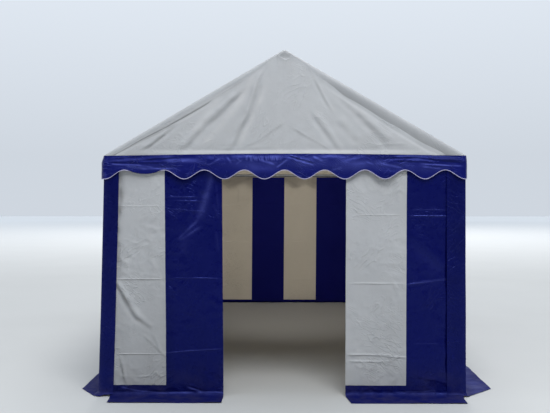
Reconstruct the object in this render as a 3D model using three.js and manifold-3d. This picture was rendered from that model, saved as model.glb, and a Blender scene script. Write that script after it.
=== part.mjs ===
// Party tent, 3 m by 6 m: a striped cover of coated cloth on a frame of steel tubes.
// Millimetres, +Z up. The origin is on the ground, in the middle of the floor, and the doorway
// faces -Y. "Left" and "right" are as seen from in front of the doorway, so left is -X.
import * as THREE from "three";
import { mergeVertices } from "three/addons/utils/BufferGeometryUtils.js";
import Module from "manifold-3d";

const wasm = await Module();
wasm.setup();

const MM_PER_METRE = 1000;

// Driving sizes of the tent
const WIDTH = 3000;
const LENGTH = 6000;
const EAVE_HEIGHT = 2000;
const ROOF_PITCH = THREE.MathUtils.degToRad(30.3);
const BAYS = 2;

// Cloth: each layer is thicker than the real 0.5 mm sheet, and lies just clear of the next one
const CLOTH = 3;
const GAP = 0.3;
const LAYERS = 3;

// Walls
const STRIPE = 500;
const DOOR_WIDTH = 1020;
const WALL_TOP = 1985;
const HEM = 30;
const KICK_BAND = 100;
const CORNER_RETURN = 130;
const SKIRT_END = 1430;
const SIDE_FLAP = 283;
const END_FLAP = 237;
const END_FLAP_TAPER = 20;

// Roof cover
const VERGE = 90;
const SCALLOPS_PER_METRE = 3;
const SCALLOP_STEPS = 10;
const VALANCE_NOTCH = 115;
const VALANCE_LOBE = 190;
const RIDGE_STEPS = 6;

// Frame
const TUBE_RADIUS = 19;
const SLEEVE_RADIUS = 21.5;
const TUBE_SIDES = 16;
const SHORT_ARM = { core: 26, reach: 90 };
const LONG_ARM = { core: 76, reach: 150 };
const SLEEVE_CAP = 12;
const FOOT_PLATE = 100;
const FOOT_THICKNESS = 6;
const PEG_HOLE_RADIUS = 7;
const PEG_HOLE_INSET = 18;
const PEG_HOLE_SIDES = 12;

// Where the cloth layers and the frame lie, worked out from the sizes above
const halfWidth = WIDTH / 2;
const halfLength = LENGTH / 2;
const layerStep = CLOTH + GAP;
const frameX = halfWidth - LAYERS * layerStep;
const frameY = halfLength - LAYERS * layerStep;
const legX = frameX - SLEEVE_RADIUS;
const legY = frameY - SLEEVE_RADIUS;
const slope = Math.tan(ROOF_PITCH);
const alongSlope = new THREE.Vector3(Math.cos(ROOF_PITCH), 0, -Math.sin(ROOF_PITCH));
const axisInset = layerStep + SLEEVE_RADIUS;
const roofHeightAt = (x, inset) =>
  EAVE_HEIGHT + (halfWidth - Math.abs(x)) * slope - inset / Math.cos(ROOF_PITCH);
const ridgeAxis = roofHeightAt(0, axisInset);
const eaveAxis = roofHeightAt(legX, axisInset);
const verticalEdge = roofHeightAt(halfWidth, CLOTH);
const frameStations = Array.from({ length: BAYS + 1 }, (_, i) => -legY + (2 * legY * i) / BAYS);

const WHITE_CLOTH = { color: 0xd6dadd, roughness: 0.5, metalness: 0 };
const BLUE_CLOTH = { color: 0x14185c, roughness: 0.4, metalness: 0 };
const ZINC_TUBE = { color: 0xa9aeb2, roughness: 0.45, metalness: 0.8 };
const ZINC_JOINT = { color: 0x8f9599, roughness: 0.55, metalness: 0.7 };

const tent = new THREE.Group();

function addNode(name, geometry, finish) {
  const mesh = new THREE.Mesh(geometry, new THREE.MeshStandardMaterial(finish));
  mesh.name = name;
  tent.add(mesh);
}

// Booleans: a closed geometry becomes a solid, and a solid becomes a geometry again
function solid(geometry) {
  const bare = geometry.index ? geometry.toNonIndexed() : geometry.clone();
  bare.deleteAttribute("normal");
  bare.deleteAttribute("uv");
  const merged = mergeVertices(bare, 1e-4);
  return new wasm.Manifold(
    new wasm.Mesh({
      numProp: 3,
      vertProperties: new Float32Array(merged.attributes.position.array),
      triVerts: new Uint32Array(merged.index.array),
    }),
  );
}

function geometryOf(manifold) {
  const { numProp, numVert, vertProperties, triVerts } = manifold.getMesh();
  const positions = new Float32Array(numVert * 3);
  for (let i = 0; i < numVert; i++) {
    positions.set(vertProperties.subarray(i * numProp, i * numProp + 3), i * 3);
  }
  const geometry = new THREE.BufferGeometry();
  geometry.setAttribute("position", new THREE.BufferAttribute(positions, 3));
  geometry.setIndex(new THREE.BufferAttribute(triVerts, 1));
  return geometry;
}

const join = (geometries) => geometryOf(geometries.map(solid).reduce((all, next) => all.add(next)));

function outline(points) {
  return new THREE.Shape(points.map(([u, v]) => new THREE.Vector2(u, v)));
}

const extrude = (shape, depth) =>
  new THREE.ExtrudeGeometry(shape, { depth, bevelEnabled: false, curveSegments: RIDGE_STEPS });

// A shape drawn in (x, z), standing between two values of y
function plateAcross(shape, fromY, toY) {
  const geometry = extrude(shape, toY - fromY);
  geometry.rotateX(Math.PI / 2);
  geometry.translate(0, toY, 0);
  return geometry;
}

// A shape drawn in (y, z), standing between two values of x
function plateAlong(shape, fromX, toX) {
  const geometry = extrude(shape, toX - fromX);
  geometry.rotateX(Math.PI / 2);
  geometry.rotateZ(Math.PI / 2);
  geometry.translate(fromX, 0, 0);
  return geometry;
}

// A shape drawn in (x, y), lying between two heights
function plateFlat(shape, fromZ, toZ) {
  const geometry = extrude(shape, toZ - fromZ);
  geometry.translate(0, 0, fromZ);
  return geometry;
}

// A plate on the face of the tent that looks along side * X or side * Y, in one cloth layer.
// Layer 0 lies on the frame.
function span(frameFace, layer, side) {
  const near = frameFace + GAP + layer * layerStep;
  const ends = [side * near, side * (near + CLOTH)];
  return ends.sort((a, b) => a - b);
}

const onEnd = (shape, layer, side) => plateAcross(shape, ...span(frameY, layer, side));
const onSide = (shape, layer, side) => plateAlong(shape, ...span(frameX, layer, side));

// Walls: stripes of one colour hang from a hem or stand on a kick band, like the teeth of a comb

// The teeth point down from a spine that runs from the first tooth to the last
function hangingComb(teeth, spineFrom, spineTo) {
  const points = [
    [spineTo, WALL_TOP],
    [spineFrom, WALL_TOP],
    [spineFrom, WALL_TOP - HEM],
  ];
  for (const [from, to] of teeth) {
    points.push([from, WALL_TOP - HEM], [from, KICK_BAND + GAP]);
    points.push([to, KICK_BAND + GAP], [to, WALL_TOP - HEM]);
  }
  points.push([spineTo, WALL_TOP - HEM]);
  return outline(withoutRepeats(points));
}

// The teeth stand on a band along the ground. A tooth is [from, to, top].
function standingComb(teeth, spineFrom, spineTo) {
  const points = [
    [spineFrom, 0],
    [spineTo, 0],
    [spineTo, KICK_BAND],
  ];
  for (const [from, to, top] of [...teeth].reverse()) {
    points.push([to, KICK_BAND], [to, top], [from, top], [from, KICK_BAND]);
  }
  points.push([spineFrom, KICK_BAND]);
  return outline(withoutRepeats(points));
}

function withoutRepeats(points) {
  return points.filter(([u, v], i) => {
    const [nextU, nextV] = points[(i + 1) % points.length];
    return u !== nextU || v !== nextV;
  });
}

const shrink = ([from, to], by) => [from + by, to - by];

// A skirt flap that lies on the ground outside an end wall, between two values of x
function endFlap(fromX, toX, side) {
  const wallFace = side * (frameY + GAP);
  const edge = side * (frameY + layerStep + END_FLAP);
  const corners = [
    [fromX, wallFace],
    [toX, wallFace],
    [toX - END_FLAP_TAPER, edge],
    [fromX + END_FLAP_TAPER, edge],
  ];
  return plateFlat(outline(side < 0 ? corners.reverse() : corners), 0, CLOTH);
}

// The flap outside a long wall, with its ends cut back at 45 degrees
function sideFlap(side) {
  const [inner, outer] = [frameX + GAP + layerStep, frameX + 2 * layerStep + SIDE_FLAP];
  const end = frameY + 2 * layerStep;
  const corners = [
    [side * inner, -end],
    [side * outer, -end + (outer - inner)],
    [side * outer, end - (outer - inner)],
    [side * inner, end],
  ];
  return plateFlat(outline(side < 0 ? corners.reverse() : corners), 0, CLOTH);
}

// The strip of a long wall that turns round the corner leg onto the front or back wall
function cornerReturn(side, end) {
  const outerX = frameX + 2 * layerStep;
  const xs = [side * outerX, side * (outerX - CORNER_RETURN)].sort((a, b) => a - b);
  const bottom = CLOTH + GAP;
  const strip = outline([
    [xs[0], bottom],
    [xs[1], bottom],
    [xs[1], WALL_TOP],
    [xs[0], WALL_TOP],
  ]);
  return onEnd(strip, 1, end);
}

function addLongWall(name, side) {
  const wallEnd = frameY + 2 * layerStep;
  const stripeEnd = halfLength - STRIPE / 2;
  const cells = [];
  for (let from = -stripeEnd; from < stripeEnd; from += STRIPE) {
    cells.push([from, from + STRIPE]);
  }
  const whites = cells.filter((_, i) => i % 2 === 0);
  const blues = cells
    .filter((_, i) => i % 2 === 1)
    .map((cell) => [...shrink(cell, GAP), WALL_TOP - HEM - GAP]);
  const ends = [
    [-wallEnd, -stripeEnd - GAP, WALL_TOP],
    [stripeEnd + GAP, wallEnd, WALL_TOP],
  ];
  const blueTeeth = [ends[0], ...blues, ends[1]];
  addNode(
    `${name}_wall_blue`,
    join([
      onSide(standingComb(blueTeeth, -wallEnd, wallEnd), 1, side),
      cornerReturn(side, -1),
      cornerReturn(side, 1),
      sideFlap(side),
    ]),
    BLUE_CLOTH,
  );
  addNode(`${name}_wall_white`, onSide(hangingComb(whites, -stripeEnd, stripeEnd), 1, side), WHITE_CLOTH);
}

// A wall across one end of the tent. Its first stripe, at fromX, has the given colour.
function addEndWall(name, fromX, toX, skirtFrom, skirtTo, firstIsWhite, end) {
  const cells = [];
  let from = fromX;
  while (from < toX) {
    const to = Math.min(toX, Math.ceil((from + 1) / STRIPE) * STRIPE);
    cells.push([from, to]);
    from = to;
  }
  const isWhite = (_, i) => (i % 2 === 0) === firstIsWhite;
  const whites = cells.filter(isWhite);
  const blues = cells
    .filter((cell, i) => !isWhite(cell, i))
    .map(([a, b]) => [
      a === fromX ? a : a + GAP,
      b === toX ? b : b - GAP,
      WALL_TOP - HEM - GAP,
    ]);
  addNode(
    `${name}_blue`,
    join([
      onEnd(standingComb(blues, fromX, toX), 0, end),
      endFlap(skirtFrom, skirtTo, end),
    ]),
    BLUE_CLOTH,
  );
  addNode(`${name}_white`, onEnd(hangingComb(whites, fromX, toX), 0, end), WHITE_CLOTH);
}

function addWalls() {
  const wallEdge = frameX + layerStep;
  const doorEdge = DOOR_WIDTH / 2;
  addLongWall("left", -1);
  addLongWall("right", 1);
  addEndWall("front_left_panel", -wallEdge, -doorEdge, -SKIRT_END, -doorEdge, true, -1);
  addEndWall("front_right_panel", doorEdge, wallEdge, doorEdge, SKIRT_END, true, -1);
  addEndWall("back_wall", -wallEdge, wallEdge, -SKIRT_END, SKIRT_END, false, 1);
}

// Roof cover

// The roof's line at a depth below its outer face: straight slopes, rounded over the ridge tube
function roofPoints(inset, edgeX) {
  const radius = axisInset - inset;
  const left = [[-edgeX, roofHeightAt(edgeX, inset)]];
  const right = [[edgeX, roofHeightAt(edgeX, inset)]];
  if (radius <= 0) {
    return [...left, [0, roofHeightAt(0, inset)], ...right];
  }
  const arc = Array.from({ length: RIDGE_STEPS + 1 }, (_, i) => {
    const angle = ROOF_PITCH * ((2 * i) / RIDGE_STEPS - 1);
    return [radius * Math.sin(angle), ridgeAxis + radius * Math.cos(angle)];
  });
  return [...left, ...arc, ...right];
}

function roofCover() {
  const sheet = outline([
    ...roofPoints(CLOTH, halfWidth),
    ...roofPoints(0, halfWidth).reverse(),
  ]);
  const vergeFoot = halfWidth - (VERGE - CLOTH) / Math.sin(ROOF_PITCH);
  const verge = outline([
    [-halfWidth, verticalEdge],
    [-vergeFoot, verticalEdge],
    [0, roofHeightAt(0, VERGE)],
    [vergeFoot, verticalEdge],
    [halfWidth, verticalEdge],
    ...roofPoints(0, halfWidth).reverse(),
  ]);
  return join([
    plateAcross(sheet, -halfLength, halfLength),
    onEnd(verge, LAYERS - 1, -1),
    onEnd(verge, LAYERS - 1, 1),
  ]);
}

// The triangle of cloth that closes one end, from the rail up to the ridge
function gable(end) {
  const foot = WALL_TOP + GAP;
  const edge = frameX;
  return onEnd(
    outline([[-edge, foot], [edge, foot], ...roofPoints(layerStep, edge).reverse()]),
    0,
    end,
  );
}

// One side of the strip that hangs under the eaves. Its wavy lower edge ends in full lobes.
function valanceSide(length) {
  const waves = (length / MM_PER_METRE) * SCALLOPS_PER_METRE;
  const steps = waves * SCALLOP_STEPS;
  const middle = EAVE_HEIGHT - (VALANCE_LOBE + VALANCE_NOTCH) / 2;
  const swing = (VALANCE_LOBE - VALANCE_NOTCH) / 2;
  const edge = Array.from({ length: steps + 1 }, (_, i) => [
    (length - 2 * CLOTH) * (i / steps - 1 / 2),
    middle - swing * Math.cos((2 * Math.PI * waves * i) / steps),
  ]);
  const end = length / 2;
  const [low, top] = [EAVE_HEIGHT - VALANCE_LOBE, verticalEdge - GAP];
  return outline([[-end, low], ...edge, [end, low], [end, top], [-end, top]]);
}

function addRoof() {
  const outermost = LAYERS - 1;
  const acrossEnd = valanceSide(WIDTH);
  const alongSide = valanceSide(LENGTH);
  addNode("roof_cover", roofCover(), WHITE_CLOTH);
  addNode("front_gable", gable(-1), WHITE_CLOTH);
  addNode("back_gable", gable(1), WHITE_CLOTH);
  addNode(
    "valance",
    join([
      onEnd(acrossEnd, outermost, -1),
      onEnd(acrossEnd, outermost, 1),
      onSide(alongSide, outermost, -1),
      onSide(alongSide, outermost, 1),
    ]),
    BLUE_CLOTH,
  );
}

// Frame

// A round bar between two distances from a centre, along a direction
function bar(centre, direction, from, to, radius, sides = TUBE_SIDES) {
  const geometry = new THREE.CylinderGeometry(radius, radius, to - from, sides);
  geometry.translate(0, (from + to) / 2, 0);
  const turn = new THREE.Quaternion().setFromUnitVectors(new THREE.Vector3(0, 1, 0), direction);
  geometry.applyQuaternion(turn);
  geometry.translate(centre.x, centre.y, centre.z);
  return geometry;
}

const X = new THREE.Vector3(1, 0, 0);
const Y = new THREE.Vector3(0, 1, 0);
const DOWN = new THREE.Vector3(0, 0, -1);
const back = (direction) => direction.clone().negate();

// A welded joint of short sleeves. An arm is { direction, core, reach, start }: its sleeve runs
// from start to reach, and the tube's socket is open from core outwards.
function joint(centre, arms) {
  const socketRadius = (TUBE_RADIUS + GAP) / Math.cos(Math.PI / TUBE_SIDES);
  const sleeves = arms.map(({ direction, reach, start = 0 }) =>
    solid(bar(centre, direction, start, reach, SLEEVE_RADIUS)),
  );
  const sockets = arms.map(({ direction, core, reach }) =>
    solid(bar(centre, direction, core, reach + 1, socketRadius)),
  );
  const body = sleeves.reduce((all, next) => all.add(next));
  return geometryOf(sockets.reduce((all, next) => all.subtract(next), body));
}

// The eave or ridge tube passes a joint in the bays on both sides of it, or on one side at an end
function lengthwiseArms(station) {
  const isFirst = station === 0;
  const isLast = station === BAYS;
  const arms = [];
  if (!isLast) {
    arms.push({ direction: Y, ...SHORT_ARM, start: isFirst ? -SLEEVE_RADIUS : 0 });
  }
  if (!isFirst) {
    arms.push({ direction: back(Y), ...SHORT_ARM, start: isLast ? -SLEEVE_RADIUS : 0 });
  }
  return arms;
}

const downSlope = (side) => new THREE.Vector3(side * alongSlope.x, 0, alongSlope.z);

function addJoints(station, label) {
  const y = frameStations[station];
  const isEnd = station === 0 || station === BAYS;
  const ridge = new THREE.Vector3(0, y, ridgeAxis);
  const rafterArms = [-1, 1].map((side) => ({ direction: downSlope(side), ...SHORT_ARM }));
  addNode(`ridge_joint_${label}`, joint(ridge, [...lengthwiseArms(station), ...rafterArms]), ZINC_JOINT);
  for (const [name, side] of [["left", -1], ["right", 1]]) {
    const eave = new THREE.Vector3(side * legX, y, eaveAxis);
    const arms = [
      ...lengthwiseArms(station),
      { direction: DOWN, ...SHORT_ARM, start: -SLEEVE_CAP },
      { direction: back(downSlope(side)), ...LONG_ARM },
    ];
    if (isEnd) {
      arms.push({ direction: new THREE.Vector3(-side, 0, 0), ...LONG_ARM });
    }
    addNode(`${name}_eave_joint_${label}`, joint(eave, arms), ZINC_JOINT);
  }
}

// A leg tube welded to a foot plate, which lies inside the walls and has one hole for a peg
function leg(side, y) {
  const centre = new THREE.Vector3(side * legX, y, eaveAxis);
  const tube = bar(centre, DOWN, SHORT_ARM.core + GAP, eaveAxis, TUBE_RADIUS);
  const isCorner = Math.abs(y) > legY - 1;
  const inward = FOOT_PLATE / 2 - TUBE_RADIUS;
  const plateX = side * (legX - inward);
  const plateY = isCorner ? y - Math.sign(y) * inward : y;
  const plate = new THREE.BoxGeometry(FOOT_PLATE, FOOT_PLATE, FOOT_THICKNESS);
  plate.translate(plateX, plateY, FOOT_THICKNESS / 2);
  const reach = FOOT_PLATE / 2 - PEG_HOLE_INSET;
  const hole = new THREE.Vector3(plateX - side * reach, pegHoleY(plateY, y, isCorner, reach), 0);
  const drill = bar(hole, back(DOWN), -1, FOOT_THICKNESS + 1, PEG_HOLE_RADIUS, PEG_HOLE_SIDES);
  return geometryOf(solid(tube).add(solid(plate)).subtract(solid(drill)));
}

// A corner plate has its hole in the corner nearest the floor's middle, others on their centre line
function pegHoleY(plateY, y, isCorner, reach) {
  return isCorner ? plateY - Math.sign(y) * reach : plateY;
}

function addTubes() {
  const rafterLength = legX / Math.cos(ROOF_PITCH);
  const rafterFrom = SHORT_ARM.core + GAP;
  const rafterTo = rafterLength - LONG_ARM.core - GAP;
  frameStations.forEach((y, station) => {
    const label = station + 1;
    for (const [name, side] of [["left", -1], ["right", 1]]) {
      addNode(`${name}_leg_${label}`, leg(side, y), ZINC_TUBE);
      const ridge = new THREE.Vector3(0, y, ridgeAxis);
      const rafter = bar(ridge, downSlope(side), rafterFrom, rafterTo, TUBE_RADIUS);
      addNode(`${name}_rafter_${label}`, rafter, ZINC_TUBE);
    }
    addJoints(station, label);
  });
  for (let bay = 0; bay < BAYS; bay++) {
    const from = SHORT_ARM.core + GAP;
    const to = frameStations[bay + 1] - frameStations[bay] - SHORT_ARM.core - GAP;
    const tubeAt = (x, z) => bar(new THREE.Vector3(x, frameStations[bay], z), Y, from, to, TUBE_RADIUS);
    addNode(`ridge_tube_${bay + 1}`, tubeAt(0, ridgeAxis), ZINC_TUBE);
    addNode(`left_eave_tube_${bay + 1}`, tubeAt(-legX, eaveAxis), ZINC_TUBE);
    addNode(`right_eave_tube_${bay + 1}`, tubeAt(legX, eaveAxis), ZINC_TUBE);
  }
  const railHalf = legX - LONG_ARM.core - GAP;
  for (const [name, y] of [["front", -legY], ["back", legY]]) {
    const middle = new THREE.Vector3(0, y, eaveAxis);
    addNode(`${name}_rail`, bar(middle, X, -railHalf, railHalf, TUBE_RADIUS), ZINC_TUBE);
  }
}

addTubes();
addWalls();
addRoof();

export default tent;
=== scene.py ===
"""Looks of a party tent: striped coated cloth hung on a frame of steel tubes.

Metres, +Z up. The doorway faces -Y and the origin is on the ground, in the middle of the floor.
Each cloth is cut flat, with X across it and Y down it, and is then hung by a function that gives
every flat point its place on the tent.
"""

import logging
import math
from collections.abc import Callable, Iterable, Sequence
from dataclasses import dataclass, field
from enum import Enum
from typing import Any

import bmesh
import bpy
from mathutils import Matrix, Vector, noise

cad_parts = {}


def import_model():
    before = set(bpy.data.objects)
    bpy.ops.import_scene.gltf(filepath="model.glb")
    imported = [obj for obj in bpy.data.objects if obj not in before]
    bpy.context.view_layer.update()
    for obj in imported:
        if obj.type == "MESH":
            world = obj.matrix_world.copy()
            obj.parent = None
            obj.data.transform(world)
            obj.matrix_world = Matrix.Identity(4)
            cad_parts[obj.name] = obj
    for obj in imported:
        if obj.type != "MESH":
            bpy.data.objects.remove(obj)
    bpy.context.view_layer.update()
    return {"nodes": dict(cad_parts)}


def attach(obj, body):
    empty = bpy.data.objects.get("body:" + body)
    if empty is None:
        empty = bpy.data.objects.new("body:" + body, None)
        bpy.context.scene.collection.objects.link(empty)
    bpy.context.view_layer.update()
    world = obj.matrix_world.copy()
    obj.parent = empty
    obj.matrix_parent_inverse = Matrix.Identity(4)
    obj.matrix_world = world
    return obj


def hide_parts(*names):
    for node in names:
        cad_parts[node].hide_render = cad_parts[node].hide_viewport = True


LOG = logging.getLogger("party_tent")

Colour = tuple[float, float, float]
Spot = tuple[float, float]
Curve = tuple[Spot, ...]
Place = Callable[[float, float], Vector]

# Sizes of the tent, as its solids have them
HALF_WIDTH = 1.5
HALF_LENGTH = 3.0
EAVE = 2.0
PITCH = math.radians(30.3)
FRAME_X = 1.4901
FRAME_Y = 2.9901
LEG_INSET = 0.0215
SLEEVE_RADIUS = 0.0215
WALL_TOP = 1.985
WALL_HEM = 0.03
KICK_SEAM = 0.1
STRIPE = 0.5
DOOR_EDGE = 0.51
FRAME_STATIONS = (-FRAME_Y + LEG_INSET, 0.0, FRAME_Y - LEG_INSET)

# How the cloth is made and how its layers lie, outwards from the frame
CLOTH = 0.001
LAP = 0.006
LAP_RISE = 0.0013
PANEL_OUT = 0.0016
RETURN_OUT = 0.0075
VALANCE_OUT = 0.0125
SNUG = 0.0055
GROUND = 0.0012
HEM_WIDTH = 0.025
HEM_RISE = 0.0011
SHARP_ANGLE = math.radians(50)


def smooth(value: float) -> float:
    """Ease a number from 0 to 1, with both ends flat."""
    value = min(1.0, max(0.0, value))
    return value * value * (3 - 2 * value)


def linear(red: int, green: int, blue: int) -> Colour:
    """Turn a screen colour, each part from 0 to 255, into the linear one that a shader takes."""
    parts = (part / 255 for part in (red, green, blue))
    return tuple(((part + 0.055) / 1.055) ** 2.4 if part > 0.04 else part / 12.92 for part in parts)


def scaled(colour: Colour, factor: float) -> Colour:
    """Give a lighter or darker shade of a colour."""
    return tuple(min(1.0, c * factor) for c in colour)


def between(table: Curve, place: float) -> float:
    """Read a smooth curve through a few points.

    Args:
        table: The points, each a place and a value, in order.
        place: Where to read it.

    Returns:
        The value there.
    """
    if place <= table[0][0]:
        return table[0][1]
    for (low, first), (high, second) in zip(table, table[1:]):
        if place < high:
            return first + (second - first) * smooth((place - low) / (high - low))
    return table[-1][1]


def ticks(start: float, stop: float, pitch: float, marks: Iterable[float] = ()) -> list[float]:
    """Divide a length so that no step is over the pitch and every mark has its own tick.

    Args:
        start: Where the length starts.
        stop: Where it stops.
        pitch: The longest step.
        marks: Places that get a tick, if they are inside the length.

    Returns:
        The ticks in order.
    """
    least = pitch / 12
    fixed = [start]
    for mark in sorted(marks):
        if fixed[-1] + least < mark < stop - least:
            fixed.append(mark)
    fixed.append(stop)
    found = [start]
    for low, high in zip(fixed, fixed[1:]):
        steps = max(1, math.ceil((high - low) / pitch - 1e-6))
        found += [low + (high - low) * (i + 1) / steps for i in range(steps)]
    return found


# Finishes


class Nodes:
    """The nodes of a material or of the air."""

    def __init__(self, tree: bpy.types.NodeTree) -> None:
        """Work on this tree."""
        self.tree = tree

    def feed(self, node: bpy.types.Node, inputs: dict[Any, Any]) -> None:
        """Set a node's inputs.

        Args:
            node: The node.
            inputs: Each input's name or number, with a socket to link or a value.
        """
        for key, value in inputs.items():
            if isinstance(value, bpy.types.NodeSocket):
                self.tree.links.new(value, node.inputs[key])
            elif isinstance(value, tuple) and node.inputs[key].type == "RGBA":
                node.inputs[key].default_value = (*value, 1.0)
            else:
                node.inputs[key].default_value = value

    def node(self, kind: str, inputs: dict[Any, Any] | None = None, **settings: Any) -> bpy.types.Node:
        """Add a node.

        Args:
            kind: The node's type, without its ShaderNode prefix.
            inputs: Its inputs, as feed takes them.
            **settings: Its own properties.

        Returns:
            The new node.
        """
        made = self.tree.nodes.new("ShaderNode" + kind)
        for name, value in settings.items():
            setattr(made, name, value)
        self.feed(made, inputs or {})
        return made

    def sum(self, how: str, *values: Any) -> bpy.types.NodeSocket:
        """Work out one number from others."""
        return self.node("Math", dict(enumerate(values)), operation=how).outputs[0]

    def spread(
        self, value: Any, low: float, high: float, to_low: float, to_high: float
    ) -> bpy.types.NodeSocket:
        """Stretch a number from one range to another, and keep it inside."""
        inputs = {"Value": value, "From Min": low, "From Max": high, "To Min": to_low, "To Max": to_high}
        return self.node("MapRange", inputs).outputs["Result"]


class Recipe(Nodes):
    """The nodes of one material."""

    def __init__(self, name: str) -> None:
        """Start a material with a plain shader.

        Args:
            name: The material's name.
        """
        self.material = bpy.data.materials.new(name)
        self.material.use_nodes = True
        super().__init__(self.material.node_tree)
        self.shader = self.tree.nodes["Principled BSDF"]
        self.output = self.tree.nodes["Material Output"]

    def noise(self, where: bpy.types.NodeSocket, scale: float, detail: float = 3.0) -> bpy.types.NodeSocket:
        """Give a cloudy pattern from 0 to 1."""
        return self.node("TexNoise", {"Vector": where, "Scale": scale, "Detail": detail}).outputs["Fac"]

    def blend(self, share: Any, first: Any, second: Any) -> bpy.types.NodeSocket:
        """Mix two colours."""
        return self.node("Mix", {0: share, 6: first, 7: second}, data_type="RGBA").outputs[2]

    def bump(
        self, height: Any, depth: float, under: bpy.types.NodeSocket | None = None
    ) -> bpy.types.NodeSocket:
        """Raise the surface by a pattern.

        Args:
            height: The pattern, from 0 to 1.
            depth: Its height in metres.
            under: The normal of a coarser bump that this one lies on.

        Returns:
            The normal.
        """
        inputs = {"Height": height, "Distance": depth, "Strength": 1.0}
        if under is not None:
            inputs["Normal"] = under
        return self.node("Bump", inputs).outputs["Normal"]

    def weave(self, where: bpy.types.NodeSocket, pitch: float) -> bpy.types.NodeSocket:
        """Give the crossing threads of a cloth.

        Args:
            where: Flat coordinates in metres.
            pitch: The distance from thread to thread.

        Returns:
            The height of the threads, from 0 to 1.
        """
        scale = math.pi / 10 / pitch
        bands = [
            self.node("TexWave", {"Vector": where, "Scale": scale}, bands_direction=way).outputs["Fac"]
            for way in "XY"
        ]
        return self.sum("MAXIMUM", *bands)


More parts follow.
